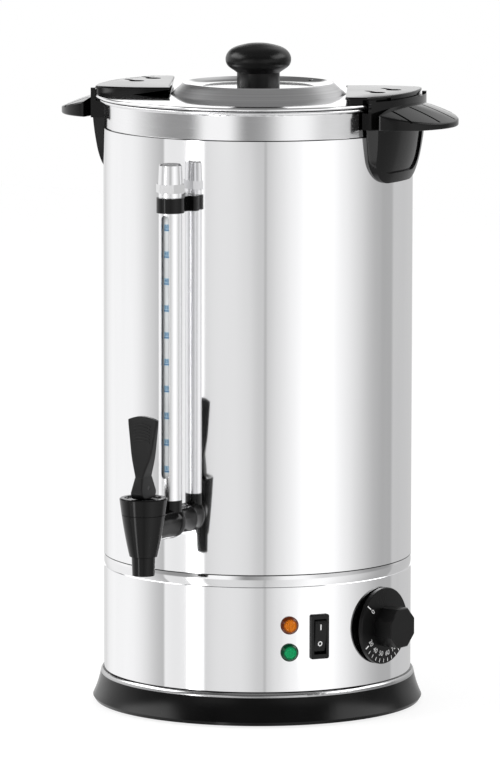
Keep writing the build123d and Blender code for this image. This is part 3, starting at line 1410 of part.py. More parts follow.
def handle(name, angle):
    """Black moulding: a tongue on the shell, a collar behind the rim, two posts and the grip."""
    with BuildPart() as moulding:
        with BuildSketch(side_plane(angle - COLLAR_SPAN)):
            with BuildLine():
                Polyline(
                    (BODY_R + SEAT_FIT, TONGUE_BOTTOM_Z),
                    (BODY_R + TONGUE_BOTTOM_T - 0.9, TONGUE_BOTTOM_Z),
                    (BODY_R + TONGUE_BOTTOM_T, TONGUE_BOTTOM_Z + 3),
                )
                ThreePointArc(
                    (BODY_R + TONGUE_BOTTOM_T, TONGUE_BOTTOM_Z + 3),
                    (BODY_R + 0.75 * TONGUE_TOP_T, TONGUE_BOTTOM_Z + 21),
                    (BODY_R + TONGUE_TOP_T, GRIP_Z),
                )
                Polyline(
                    (BODY_R + TONGUE_TOP_T, GRIP_Z),
                    (COLLAR_OUT_R, GRIP_Z),
                    (COLLAR_OUT_R, COLLAR_TOP_Z),
                    (COLLAR_R, COLLAR_TOP_Z),
                    (COLLAR_R, NECK_TOP_Z - 1),
                    (BODY_R + SEAT_FIT, NECK_TOP_Z - 1),
                    (BODY_R + SEAT_FIT, TONGUE_BOTTOM_Z),
                )
            make_face()
        revolve(axis=Axis.Z, revolution_arc=2 * COLLAR_SPAN)
        with BuildSketch(wall_plane(angle, 0, 0)) as tongue_outline:
            with BuildLine():
                Polyline(
                    (-TONGUE_W / 2 - 10, COLLAR_TOP_Z),
                    (-TONGUE_W / 2 - 10, GRIP_Z),
                    (-TONGUE_W / 2, GRIP_Z),
                    (-TONGUE_W / 2 + 4, TONGUE_BOTTOM_Z),
                    (TONGUE_W / 2 - 4, TONGUE_BOTTOM_Z),
                    (TONGUE_W / 2, GRIP_Z),
                    (TONGUE_W / 2 + 10, GRIP_Z),
                    (TONGUE_W / 2 + 10, COLLAR_TOP_Z),
                    close=True,
                )
            make_face()
            fillet(tongue_outline.vertices().group_by(Axis.Y)[0], TONGUE_CORNER_R)
        extrude(amount=COLLAR_R + 20, mode=Mode.INTERSECT)
        add(tongue_panel(angle), mode=Mode.SUBTRACT)
        add(visor(angle))
        for post_side in (-1, 1):
            with BuildSketch(plan_plane(angle + post_side * POST_ANGLE, GRIP_Z + 8)):
                with Locations((COLLAR_R + COLLAR_WALL / 2, 0)):
                    Rectangle(COLLAR_WALL, POST_W)
            extrude(amount=POST_TOP_Z - GRIP_Z - 8)
        with BuildSketch(plan_plane(angle - POST_ANGLE, NIB_Z)):
            with Locations((COLLAR_R - NIB_REACH / 2 + 0.5, 0)):
                Rectangle(NIB_REACH + 1, POST_W)
        extrude(amount=NIB_H)
        with BuildSketch(wall_plane(angle, HANDLE_SCREW_Z, HEAD_SEAT_R)):
            with GridLocations(HANDLE_SCREW_PITCH, 1, 2, 1):
                Circle(HANDLE_SCREW_R + RUN_FIT)
        extrude(amount=HANDLE_SCREW_L + 0.2, mode=Mode.SUBTRACT)
    finish(moulding, name)


handle("handle_right", HANDLE_ANGLE)
handle("handle_left", HANDLE_ANGLE + 180)

# The screws sit in the gap between tank and shell, with their heads behind the shell.
with BuildPart() as handle_screws:
    for side_angle in (HANDLE_ANGLE, HANDLE_ANGLE + 180):
        head_plane = wall_plane(side_angle, HANDLE_SCREW_Z, HEAD_SEAT_R)
        with BuildSketch(head_plane):
            with GridLocations(HANDLE_SCREW_PITCH, 1, 2, 1):
                Circle(HANDLE_HEAD_R)
        extrude(amount=-PAN_HEAD_H)
        with BuildSketch(head_plane):
            with GridLocations(HANDLE_SCREW_PITCH, 1, 2, 1):
                Circle(HANDLE_SCREW_R)
        extrude(amount=HANDLE_SCREW_L)
finish(handle_screws, "handle_screws")

# ======================= lid =======================

with BuildPart() as lid_pan:
    dish_r = PLATEAU_R - 1
    with BuildSketch(Plane.XZ):
        with BuildLine():
            Line((0, KNOB_Z), (dish_r - DISH_SLOPE_W, KNOB_Z))
            ThreePointArc(
                (dish_r - DISH_SLOPE_W, KNOB_Z),
                (dish_r - 0.41 * DISH_SLOPE_W, KNOB_Z + 0.25 * DISH_H),
                (dish_r, PLATEAU_Z),
            )
            Polyline(
                (dish_r, PLATEAU_Z),
                (PLATEAU_R, PLATEAU_Z - 0.3),
                (PLATEAU_FOOT_R, LID_Z),
                (LID_R - BEAD_H / 2, LID_Z),
            )
            ThreePointArc(
                (LID_R - BEAD_H / 2, LID_Z),
                (LID_R, LID_Z - BEAD_H / 2),
                (LID_R - BEAD_H / 2, LID_Z - BEAD_H),
            )
            Polyline(
                (LID_R - BEAD_H / 2, LID_Z - BEAD_H),
                (LID_R - BEAD_W, LID_Z - BEAD_H),
                (LID_R - BEAD_W, LID_UNDER_Z),
                (SKIRT_R, LID_UNDER_Z),
                (SKIRT_R, LID_Z - SKIRT_H),
                (SKIRT_R - SHEET, LID_Z - SKIRT_H),
                (SKIRT_R - SHEET, LID_UNDER_Z),
                (PLATEAU_FOOT_R - 0.5, LID_UNDER_Z),
                (dish_r, PLATEAU_Z - SHEET - 0.5),
            )
            ThreePointArc(
                (dish_r, PLATEAU_Z - SHEET - 0.5),
                (dish_r - 0.42 * DISH_SLOPE_W, KNOB_Z - 0.15),
                (dish_r - DISH_SLOPE_W, KNOB_Z - SHEET),
            )
            Line((dish_r - DISH_SLOPE_W, KNOB_Z - SHEET), (0, KNOB_Z - SHEET))
            Line((0, KNOB_Z - SHEET), (0, KNOB_Z))
        make_face()
    revolve(axis=Axis.Z)
    with BuildSketch(Plane.XY.offset(LID_UNDER_Z)):
        Circle(KNOB_SCREW_R + SEAT_FIT)
        with Locations(plan_plane(STEAM_VENT_ANGLE, 0)):
            with Locations((STEAM_VENT_CIRCLE_R, 0)):
                Circle(STEAM_VENT_R)
        for lug_angle, hand in ((LUG_ANGLE, 1), (LUG_ANGLE + 180, -1)):
            with Locations(plan_plane(lug_angle, 0)):
                with Locations((LUG_SCREW_AT, hand * LUG_SCREW_SHIFT)):
                    with GridLocations(1, LUG_SCREW_PITCH, 1, 2):
                        Circle(LUG_SCREW_R + SEAT_FIT)
    extrude(amount=2 * PLATEAU_H, mode=Mode.SUBTRACT)
finish(lid_pan, "lid_pan")

with BuildPart() as lid_seal:
    with BuildSketch(Plane.XY.offset(RIM_TOP_Z)):
        Circle(LID_R - BEAD_W - SEAT_FIT)
        Circle(SKIRT_R + MOVE_GAP, mode=Mode.SUBTRACT)
    extrude(amount=LID_UNDER_Z - RIM_TOP_Z)
finish(lid_seal, "lid_seal")

with BuildPart() as lid_knob:
    with BuildSketch(Plane.XZ):
        with BuildLine():
            Polyline(
                (0, KNOB_Z + KNOB_H),
                (0, KNOB_Z),
                (KNOB_NECK_R, KNOB_Z),
                (KNOB_NECK_R, KNOB_Z + KNOB_NECK_H),
            )
            Spline(
                (KNOB_NECK_R, KNOB_Z + KNOB_NECK_H),
                (KNOB_R - 4.7, KNOB_Z + 0.4 * KNOB_H),
                (KNOB_R - 1.4, KNOB_Z + 0.484 * KNOB_H),
                (KNOB_R, KNOB_Z + 0.648 * KNOB_H),
                (KNOB_R - 3.0, KNOB_Z + 0.835 * KNOB_H),
                (KNOB_R - 12.3, KNOB_Z + 0.961 * KNOB_H),
                (0, KNOB_Z + KNOB_H),
                tangents=((1, 0.8), (-1, 0)),
            )
        make_face()
    revolve(axis=Axis.Z)
    with BuildSketch(Plane.XY.offset(KNOB_Z)):
        Circle(KNOB_SCREW_R + RUN_FIT)
    extrude(amount=KNOB_SCREW_L + 1, mode=Mode.SUBTRACT)
finish(lid_knob, "lid_knob")

with BuildPart() as knob_screw:
    with BuildSketch(Plane.XY.offset(KNOB_Z - SHEET)):
        Circle(KNOB_SCREW_HEAD_R)
    extrude(amount=-PAN_HEAD_H)
    with BuildSketch(Plane.XY.offset(KNOB_Z - SHEET)):
        Circle(KNOB_SCREW_R)
    extrude(amount=SHEET + KNOB_SCREW_L)
finish(knob_screw, "knob_screw")


def lug_outline():
    """Plan of a lug: a blunt front corner, the lid's edge, a bulge and a tip on the plateau."""
    front = (LUG_R * cos(radians(LUG_FRONT_SPAN)), -LUG_R * sin(radians(LUG_FRONT_SPAN)))
    rear = (LUG_R * cos(radians(LUG_REAR_SPAN)), LUG_R * sin(radians(LUG_REAR_SPAN)))
    corner = (LUG_R - LUG_CORNER_INSET, LUG_CORNER_Y)
    bulge = (LUG_R - LUG_BULGE_INSET, LUG_BULGE_Y)
    tip_r = PLATEAU_FOOT_R + 1
    tip_near, tip_far = [
        (tip_r * cos(radians(tip_angle)), tip_r * sin(radians(tip_angle)))
        for tip_angle in LUG_TIP_ANGLES
    ]
    with BuildSketch() as outline:
        with BuildLine():
            Line(corner, front)
            ThreePointArc(front, (LUG_R, 0), rear)
            ThreePointArc(rear, bulge, tip_far)
            RadiusArc(tip_far, tip_near, tip_r)
            Line(tip_near, corner)
        make_face()
        fillet(outline.vertices().sort_by_distance(rear)[0], 8.0)
        fillet(outline.vertices().sort_by_distance(corner)[0], 4.0)
    return outline.sketch


def lug(name, angle, hand):
    """Black lock lug of the lid; hand says to which side its two screws are shifted."""
    screw_row = (LUG_SCREW_AT, hand * LUG_SCREW_SHIFT)
    tail = radians(TAIL_ANGLE)
    tail_shift = (-hand * cos(tail) * TAIL_L / 2, hand * sin(tail) * TAIL_L / 2)
    with BuildPart() as lock_lug:
        with BuildSketch(plan_plane(angle, LID_Z)):
            add(lug_outline())
            offset(amount=-LUG_LIP)
        extrude(amount=LUG_H - LUG_PLATE_T)
        with BuildSketch(plan_plane(angle, LUG_TOP_Z - LUG_PLATE_T)):
            add(lug_outline())
        extrude(amount=LUG_PLATE_T)
        fillet(lock_lug.faces().sort_by(Axis.Z)[-1].edges(), 1.0)
        with BuildSketch(side_plane(angle - LUG_REAR_SPAN - LUG_FRONT_SPAN)):
            with BuildLine():
                Polyline(
                    (PLATEAU_FOOT_R + LUG_UNDERCUT_W, LID_Z),
                    (PLATEAU_FOOT_R - 1, LID_Z),
                    (PLATEAU_FOOT_R - 1, LUG_TOP_Z - LUG_TIP_T),
                    close=True,
                )
            make_face()
        revolve(
            axis=Axis.Z,
            revolution_arc=2 * (LUG_REAR_SPAN + LUG_FRONT_SPAN),
            mode=Mode.SUBTRACT,
        )
        with BuildSketch(plan_plane(angle, LUG_TOP_Z)):
            with Locations(screw_row):
                with GridLocations(1, LUG_SCREW_PITCH, 1, 2):
                    Circle(POCKET_R)
                    with Locations(tail_shift):
                        SlotOverall(TAIL_L, TAIL_W, rotation=-TAIL_ANGLE)
        extrude(amount=-POCKET_H, mode=Mode.SUBTRACT)
        with BuildSketch(plan_plane(angle, LID_Z)):
            with Locations(screw_row):
                with GridLocations(1, LUG_SCREW_PITCH, 1, 2):
                    Circle(LUG_SCREW_R + SEAT_FIT)
        extrude(amount=LUG_H, mode=Mode.SUBTRACT)
        # A notch lets the handle's nib pass when the lid is lifted, and a groove beside it
        # takes the nib when the lid is turned.
        nib_at = HANDLE_ANGLE - POST_ANGLE - LUG_ANGLE
        nib_half = degrees((POST_W / 2 + MOVE_GAP) / (COLLAR_R - NIB_REACH))
        low_z = NIB_Z - MOVE_GAP
        high_z = NIB_Z + NIB_H + MOVE_GAP
        groove_in_r = COLLAR_R - NIB_REACH - COLLAR_GAP
        groove_w = NIB_REACH + 2 * COLLAR_GAP
        for start, end, bottom_z in (
            (nib_at - 2 * nib_half, nib_at + nib_half, LID_Z),
            (nib_at, nib_at + LOCK_TURN + nib_half, low_z),
        ):
            with BuildSketch(side_plane(angle + start)):
                with Locations((groove_in_r + groove_w / 2, (bottom_z + high_z) / 2)):
                    Rectangle(groove_w, high_z - bottom_z)
            revolve(axis=Axis.Z, revolution_arc=end - start, mode=Mode.SUBTRACT)
    finish(lock_lug, name)


lug("lug_right", LUG_ANGLE, 1)
lug("lug_left", LUG_ANGLE + 180, -1)

with BuildPart() as lug_screws:
    for lug_angle, hand in ((LUG_ANGLE, 1), (LUG_ANGLE + 180, -1)):
        with BuildSketch(plan_plane(lug_angle, POCKET_Z)):
            with Locations((LUG_SCREW_AT, hand * LUG_SCREW_SHIFT)):
                with GridLocations(1, LUG_SCREW_PITCH, 1, 2):
                    Circle(PAN_HEAD_R)
        extrude(amount=PAN_HEAD_H)
        with BuildSketch(plan_plane(lug_angle, POCKET_Z)):
            with Locations((LUG_SCREW_AT, hand * LUG_SCREW_SHIFT)):
                with GridLocations(1, LUG_SCREW_PITCH, 1, 2):
                    Circle(LUG_SCREW_R)
        extrude(amount=-LUG_SCREW_L)
finish(lug_screws, "lug_screws")

with BuildPart() as lug_nuts:
    for lug_angle, hand in ((LUG_ANGLE, 1), (LUG_ANGLE + 180, -1)):
        with BuildSketch(plan_plane(lug_angle, LID_UNDER_Z)):
            with Locations((LUG_SCREW_AT, hand * LUG_SCREW_SHIFT)):
                with GridLocations(1, LUG_SCREW_PITCH, 1, 2):
                    RegularPolygon(LUG_NUT_R, 6, major_radius=False)
                    Circle(LUG_SCREW_R + RUN_FIT, mode=Mode.SUBTRACT)
        extrude(amount=-LUG_NUT_H)
finish(lug_nuts, "lug_nuts")
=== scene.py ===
"""Looks of the hot water urn: finishes, printed marks, studio and camera.

Metres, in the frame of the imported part: +Z up, the tap points to -Y. Angles round the urn are
in degrees from the tap towards +X.
"""
import json
from math import cos, pi, radians, sin

import bpy
from mathutils import Matrix, Vector


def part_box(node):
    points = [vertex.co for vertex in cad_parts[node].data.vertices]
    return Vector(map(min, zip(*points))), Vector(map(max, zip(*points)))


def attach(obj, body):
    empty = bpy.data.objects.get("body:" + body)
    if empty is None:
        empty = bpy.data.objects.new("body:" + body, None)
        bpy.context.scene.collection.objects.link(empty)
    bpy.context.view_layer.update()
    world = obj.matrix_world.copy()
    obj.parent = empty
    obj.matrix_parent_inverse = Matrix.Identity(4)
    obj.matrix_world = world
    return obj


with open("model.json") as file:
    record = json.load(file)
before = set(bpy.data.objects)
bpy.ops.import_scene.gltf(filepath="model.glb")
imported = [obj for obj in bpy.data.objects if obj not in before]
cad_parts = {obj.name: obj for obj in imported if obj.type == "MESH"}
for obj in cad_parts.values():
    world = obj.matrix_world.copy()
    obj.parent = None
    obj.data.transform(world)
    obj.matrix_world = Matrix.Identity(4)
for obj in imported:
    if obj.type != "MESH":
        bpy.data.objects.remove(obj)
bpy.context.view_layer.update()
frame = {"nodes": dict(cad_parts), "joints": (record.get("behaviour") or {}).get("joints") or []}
NODES = frame["nodes"]
JOINTS = {joint["name"]: joint for joint in frame["joints"]}
SCENE = bpy.context.scene

ACROSS = Vector((1, 0, 0))
UP = Vector((0, 0, 1))


def top(node):
    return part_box(node)[1].z


def middle(node):
    low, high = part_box(node)
    return (low + high) / 2


# ---- camera, solved from the edges of the urn in the photo; lens and sensor in millimetres ----
CAMERA_AZIMUTH = 28.0
CAMERA_DISTANCE = 4.5984
CAMERA_HEIGHT = 0.8492
CAMERA_PITCH = 7.7636
CAMERA_YAW = -0.0691
CAMERA_ROLL = 0.0937
CAMERA_LENS = 298.12
SENSOR = 36.0

# ---- shading: faces that meet at less than this many degrees look rounded ----
SMOOTH_LIMIT = 33.0
SMOOTH_LIMITS = {"inner_tank": 20.0}  # keeps the edge between the tank's shoulder and its neck

# ---- finishes ----
LAMP_ANGLE = 39.8
LENS_PAINTED_LIGHT_R = 0.0036  # painted light through the prisms of a lamp cap is full up to here
LENS_UNLIT_R = 0.0050  # and fades out by here, leaving the cap's deep colour at its rim
CONE_MIDDLE_R = 0.0579  # brushed cone of the lid
CONE_HALF_WIDTH = 0.0047
# Heights where the steel's colour is painted dark in a thin line round the urn: painted shade in
# the gaps between parts.
SHELL_SEAM_SHADES = ((top("outer_shell"), 0.0006), (0.1072, 0.0005))  # height and half width of each line of painted shade
TRIM_SEAM_SHADES = ((top("base_trim_ring"), 0.0007),)

# ---- marks of the sight gauge ----
INK = 0.00008  # thickness of printed ink
INK_LIFT = 0.00001  # gap under ink that would otherwise touch its surface
TUBE_LOW, TUBE_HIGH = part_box("gauge_glass")
TUBE_Y = middle("gauge_glass").y
TUBE_R = (TUBE_HIGH.x - TUBE_LOW.x) / 2
SCALE_FIRST = 0.1841
SCALE_LAST = 0.3534
SCALE_STEPS = 10
SCALE_UNIT = 5
SCALE_PATCH = (0.0044, 0.0048)
SCALE_LINE = (0.0042, 0.0006)
SCALE_LINE_DROP = 0.0016
SCALE_NUMBER_H = 0.0023
SCALE_NUMBER_RISE = 0.0006
BEND_STEPS = 6

# ---- marks of the dial: heights over its joint, turns against the clock from the right ----
DIAL_EDGE_R = 0.0267
DIAL_EDGE_H = 0.0038
DIAL_GRIP_R = 0.0145
DIAL_GRIP_H = 0.0046
DIAL_OFF_TURN = 141.0
DIAL_OFF_TICK = (0.0008, 0.0045)
DIAL_OFF_TICK_R = 0.0243
DIAL_OFF_NUMBER_R = 0.0194
DIAL_OFF_NUMBER_H = 0.0038
DIAL_FIRST_TURN = 211.0
DIAL_STEP_TURN = 11.0
DIAL_STEPS = 13
DIAL_FIRST_TICK = (0.0009, 0.0036)
DIAL_TICK = (0.0005, 0.0026)
DIAL_TICK_R = 0.0247
DIAL_FIRST_NUMBER = 30
DIAL_UNIT = 5
DIAL_NUMBER_R = 0.0199
DIAL_NUMBER_H = 0.0037

# ---- marks of the rocker: places along it from its pivot ----
ROCKER_TILT = JOINTS["switch_rock"]["range_deg"][1] / 2
ROCKER_RIDGE_H = 0.0036
ROCKER_FALL = 0.0009 / 0.0096
ON_MARK = (0.0009, 0.0039)
ON_MARK_PLACE = 0.0074
OFF_MARK_OUTER = (0.0034, 0.0038)
OFF_MARK_INNER = (0.0019, 0.0023)
OFF_MARK_PLACE = -0.0046

# ---- studio ----
# Each card is (azimuth, half width, softness, strength), seen in polished metal. The low ones lie
# under the horizon, the high ones just over it and the sky ones above those.
LOW_BASE = 0.46
LOW_CARDS = (
    (-96.0, 12.0, 50.0, 0.60),
    (-29.0, 16.0, 2.0, 0.46),
    (4.0, 4.0, 34.0, 0.42),
    (31.0, 1.0, 10.0, -0.08),
    (33.5, 0.4, 1.2, -0.14),
    (74.0, 6.0, 58.0, 0.66),
    (74.0, 1.0, 20.0, 0.16),
    (-20.0, 1.0, 6.0, 4.5),
    (-174.0, 36.0, 4.0, 0.16),
)
HIGH_BASE = 0.36
HIGH_CARDS = (
    (-102.0, 8.0, 55.0, 0.85),
    (-3.0, 7.0, 16.0, 0.85),
    (56.0, 5.0, 20.0, 0.40),
    (73.0, 12.0, 42.0, 0.48),
    (-152.0, 8.0, 8.0, 0.78),
    (172.0, 14.0, 16.0, 0.45),
)
SKY_BASE = 0.14
SKY_CARDS = (
    (-66.0, 22.0, 14.0, 5.0),
    (116.0, 22.0, 14.0, 4.0),
    (172.0, 18.0, 18.0, 0.9),
)
ZENITH = 0.34
# Rise of a direction, from -1 straight down to 1 straight up, where one band fades into the next.
LOW_TO_HIGH = (-0.04, 0.06)
HIGH_TO_SKY = (0.24, 0.36)
SKY_TO_ZENITH = (0.62, 0.74)
SOFT_LEVEL = 0.55  # light from the horizon on what isn't a mirror
SOFT_RISE = 0.25  # and what it gains up to straight above
FLOOR_SIZE = 6.0
FLOOR_GLOW = 1.12
FLOOR_GLOW_SHARE = 0.72
AIM_HEIGHT = 0.25
SOFTBOX_SIZE = (1.2, 1.6)
# Name, azimuth, distance, height and power.
SOFTBOXES = (("key", -40.0, 2.2, 1.6, 34.0), ("fill", 100.0, 2.4, 1.2, 18.0))


# ======================= shading of the CAD meshes =======================


def corner_angle(mesh, face, corner):
    """Angle of a face at one of its corners."""
    count = len(face.vertices)
    here = mesh.vertices[face.vertices[corner]].co
    ahead = mesh.vertices[face.vertices[(corner + 1) % count]].co - here
    behind = mesh.vertices[face.vertices[corner - 1]].co - here
    return ahead.angle(behind, 0.0)


def smooth(obj, limit):
    """Round the shading over the facets of a CAD mesh and keep its real edges sharp."""
    mesh = obj.data
    painted_glints = {}
    corners = []
    for face in mesh.polygons:
        for corner, index in enumerate(face.vertices):
            key = tuple(round(c, 6) for c in mesh.vertices[index].co)
            weighted = (face.normal, corner_angle(mesh, face, corner))
            painted_glints.setdefault(key, []).append(weighted)
            corners.append((key, face.normal))
    least = cos(radians(limit))
    normals = []
    for key, own in corners:
        total = Vector((0.0, 0.0, 0.0))
        for normal, weight in painted_glints[key]:
            if normal.dot(own) > least:
                total += normal * weight
        normals.append(total.normalized() if total.length > 0 else own)
    mesh.polygons.foreach_set("use_smooth", [True] * len(mesh.polygons))
    mesh.normals_split_custom_set(normals)


# ======================= nodes =======================


class Nodes:
    """Short calls for the nodes of a material or of the world."""

    def __init__(self, tree):
        self.tree = tree

    def put(self, value, socket):
        """Fill a socket with a constant, or link it to the output of another node."""
        if isinstance(value, bpy.types.NodeSocket):
            self.tree.links.new(value, socket)
        else:
            socket.default_value = value

    def node(self, kind, inputs=None, **settings):
        """New node with its settings, and with its input sockets filled."""
        made = self.tree.nodes.new(kind)
        for key, value in settings.items():
            setattr(made, key, value)
        for socket, value in (inputs or {}).items():
            self.put(value, made.inputs[socket])
        return made

    def math(self, operation, *values):
        inputs = dict(enumerate(values))
        return self.node("ShaderNodeMath", inputs, operation=operation).outputs[0]

    def spread(self, value, low, high, start=0.3, end=0.7, curve="LINEAR"):
        """Value moved from start..end to low..high."""
        inputs = {"Value": value, "From Min": start, "From Max": end, "To Min": low, "To Max": high}
        return self.node("ShaderNodeMapRange", inputs, interpolation_type=curve).outputs[0]

    def blend(self, below, above, share):
        """Below where share is 0 and above where it is 1."""
        rest = self.math("SUBTRACT", 1.0, share)
        parts = self.math("MULTIPLY", below, rest), self.math("MULTIPLY", above, share)
        return self.math("ADD", *parts)

    def coordinates(self, kind):
        """X, Y and Z of a place or direction."""
        place = self.node("ShaderNodeTexCoord").outputs[kind]
        return self.node("ShaderNodeSeparateXYZ", {0: place}).outputs


class Shader(Nodes):
    """A node material with a Principled surface."""

    def __init__(self, name, **sockets):
        self.material = bpy.data.materials.new(name)
        self.material.use_nodes = True
        super().__init__(self.material.node_tree)
        self.principled = self.tree.nodes["Principled BSDF"]
        for socket, value in sockets.items():
            self.principled.inputs[socket.replace("_", " ")].default_value = value

    def noise(self, scale, stretch=(1, 1, 1), detail=2.0):
        """Noise over the piece; stretch squeezes the pattern along an axis."""
        place = self.node("ShaderNodeTexCoord").outputs["Object"]
        mapped = self.node("ShaderNodeMapping", {"Vector": place, "Scale": stretch}).outputs[0]
        inputs = {"Vector": mapped, "Scale": scale, "Detail": detail}
        return self.node("ShaderNodeTexNoise", inputs).outputs[0]

    def radius(self, x, y):
        """Distance from the origin of two lengths at a right angle."""
        squares = [self.math("MULTIPLY", value, value) for value in (x, y)]
        return self.math("SQRT", self.math("ADD", *squares))

    def tint(self, value, dark, light):
        """Base colour from dark to light by value."""
        inputs = {0: value, 6: (*dark, 1), 7: (*light, 1)}
        mix = self.node("ShaderNodeMix", inputs, data_type="RGBA")
        self.put(mix.outputs[2], self.principled.inputs["Base Color"])

    def rough(self, value):
        self.put(value, self.principled.inputs["Roughness"])

    def tipped(self, lean):
        """Normal of the surface, tipped up."""
        normal = self.node("ShaderNodeNewGeometry").outputs["Normal"]
        tip = self.node("ShaderNodeVectorMath", {0: normal, 1: UP * lean}, operation="ADD")
        return self.node(
            "ShaderNodeVectorMath", {0: tip.outputs[0]}, operation="NORMALIZE"
        ).outputs[0]

    def bump(self, height, strength, distance=0.0002, normal=None):
        inputs = {"Height": height, "Strength": strength, "Distance": distance}
        if normal is not None:
            inputs["Normal"] = normal
        made = self.node("ShaderNodeBump", inputs)
        self.put(made.outputs[0], self.principled.inputs["Normal"])


# ======================= finishes =======================

# Stretch of the polish along X, Y and Z.
EVEN = (1, 1, 1)
UPRIGHT_LINES = (1, 1, 0.05)
ROUND_LINES = (1, 1, 8)
FINE_ROUND_LINES = (1, 1, 40)
# Shares of red, green and blue.
STEEL_HUE = (1.0, 1.0, 1.01)
BRASS_HUE = (1.0, 0.76, 0.35)


def grey(level):
    return [level * share for share in STEEL_HUE]


def metal(name, level, rough, scale, stretch=EVEN, hue=STEEL_HUE, seam_shades=(), lines=0.0, lean=0.0):
    """Polished metal, with stretched noise for the direction of the polish.

    Seams are heights, each with a half width, where a thin line of painted shade darkens the colour
    round the urn, at the gap between two parts. Lines is how deep the polish is cut. Lean tips a
    cut surface up, as on a band rolled slightly conical.
    """
    shader = Shader(name, Metallic=1.0)
    grain = shader.noise(scale, stretch, detail=3.0)
    light = [level * share for share in hue]
    if seam_shades:
        # painted shade: the base colour drops to near black in a thin line at each seam height
        height = shader.coordinates("Object")[2]
        painted_gap_shade = 0.0
        for centre, half in seam_shades:
            painted_gap_shade = shader.math("MAXIMUM", painted_gap_shade, shader.math("COMPARE", height, centre, half))
        shine = shader.spread(grain, 0.93, 1.0)
        shader.tint(shader.math("SUBTRACT", shine, painted_gap_shade), grey(0.03), light)
    else:
        shader.tint(shader.spread(grain, 0.0, 1.0), [0.97 * c for c in light], light)
    shader.rough(shader.spread(grain, *rough))
    if lines:
        shader.bump(grain, lines, normal=shader.tipped(lean))
    return shader.material


def plastic(name, dark, light, rough, gloss, grain):
    """Moulded plastic with a slightly uneven gloss and a fine grain."""
    shader = Shader(name, Specular_IOR_Level=gloss)
    patches = shader.noise(28.0)
    shader.tint(shader.spread(patches, 0.0, 1.0), dark, light)
    shader.rough(shader.spread(patches, *rough))
    shader.bump(shader.noise(2200.0), grain, 0.00005)
    return shader.material


def lid_steel(name):
    """Polished lid: circular grain, and a brushed cone up to the plateau."""
    shader = Shader(name, Metallic=1.0)
    x, y = shader.coordinates("Object")[:2]
    radius = shader.radius(x, y)
    cone = shader.math("COMPARE", radius, CONE_MIDDLE_R, CONE_HALF_WIDTH)
    inputs = {"W": radius, "Scale": 900.0}
    grain = shader.node("ShaderNodeTexNoise", inputs, noise_dimensions="1D").outputs[0]
    level = shader.math("MULTIPLY", cone, shader.spread(grain, 0.75, 1.0))
    shader.tint(level, grey(0.84), grey(0.5))
    shader.rough(shader.math("ADD", shader.math("MULTIPLY", cone, 0.24), 0.07))
    shader.bump(grain, 0.05, 0.00005)
    return shader.material


def lens(name, deep, bright, node):
    """Translucent lamp cap: deep colour at its rim, painted light in its dome and painted glints on
    its small prisms.
    """
    shader = Shader(name, Roughness=0.12, Specular_IOR_Level=0.1)
    x, y, z = shader.coordinates("Object")
    across = shader.math(
        "ADD",
        shader.math("MULTIPLY", x, cos(radians(LAMP_ANGLE))),
        shader.math("MULTIPLY", y, sin(radians(LAMP_ANGLE))),
    )
    radius = shader.radius(across, shader.math("SUBTRACT", z, middle(node).z))
    # painted light: bright in the dome, fading to the deep colour towards the rim
    glow = shader.spread(radius, 1.0, 0.0, LENS_PAINTED_LIGHT_R, LENS_UNLIT_R)
    place = shader.node("ShaderNodeTexCoord").outputs["Object"]
    inputs = {"Vector": place, "Scale": 1300.0, "Randomness": 0.3}
    prisms = shader.node("ShaderNodeTexVoronoi", inputs).outputs["Distance"]
    # painted glints: small bright spots on the prisms
    painted_glints = shader.spread(prisms, 1.15, 0.25, 0.05, 0.75)
    shader.tint(shader.math("MULTIPLY", painted_glints, glow), deep, bright)
    shader.bump(prisms, 0.4)
    return shader.material


def milky(name):
    """Whitish plastic tube with a little haze."""
    shader = Shader(name, Transmission_Weight=0.12, IOR=1.3)
    haze = shader.noise(60.0, (1, 1, 0.3))
    shader.tint(shader.spread(haze, 0.0, 1.0), (0.70, 0.72, 0.73), (0.80, 0.82, 0.83))
    shader.rough(shader.spread(haze, 0.2, 0.28))
    return shader.material


def ink(name, colour):
    """Dull printed ink."""
    shader = Shader(name)
    flecks = shader.noise(400.0)
    shader.tint(shader.spread(flecks, 0.0, 1.0), [c * 0.9 for c in colour], colour)
    shader.rough(shader.spread(flecks, 0.4, 0.5))
    return shader.material


# the shell and trim steels carry thin lines of painted shade where their parts meet
SHELL = metal("shell_steel", 0.88, (0.05, 0.08), 30.0, UPRIGHT_LINES, seam_shades=SHELL_SEAM_SHADES)
TRIM = metal("trim_steel", 0.46, (0.16, 0.22), 40.0, ROUND_LINES, seam_shades=TRIM_SEAM_SHADES)
BAND = metal("band_steel", 0.80, (0.05, 0.09), 40.0, ROUND_LINES)
NECK = metal("neck_steel", 0.78, (0.11, 0.16), 60.0, FINE_ROUND_LINES, lines=0.04, lean=0.13)
GUARD = metal("guard_steel", 0.9, (0.24, 0.3), 60.0, UPRIGHT_LINES)
DULL = metal("inner_steel", 0.6, (0.3, 0.4), 80.0)
NICKEL = metal("bright_nickel", 0.82, (0.08, 0.14), 70.0)
ZINC = metal("zinc", 0.55, (0.25, 0.4), 200.0)
BLACK_ZINC = metal("black_zinc", 0.05, (0.25, 0.35), 200.0)
BRASS = metal("brass", 0.72, (0.25, 0.35), 90.0, hue=BRASS_HUE)
LID_STEEL = lid_steel("lid_steel")
GLOSS_BLACK = plastic("gloss_black", grey(0.0025), grey(0.004), (0.10, 0.15), 0.22, 0.02)
FOOT_BLACK = plastic("foot_black", grey(0.003), grey(0.005), (0.14, 0.2), 0.13, 0.03)
SATIN_BLACK = plastic("satin_black", grey(0.004), grey(0.006), (0.26, 0.34), 0.2, 0.1)
MATTE_BLACK = plastic("matte_black", grey(0.007), grey(0.010), (0.36, 0.44), 0.22, 0.2)
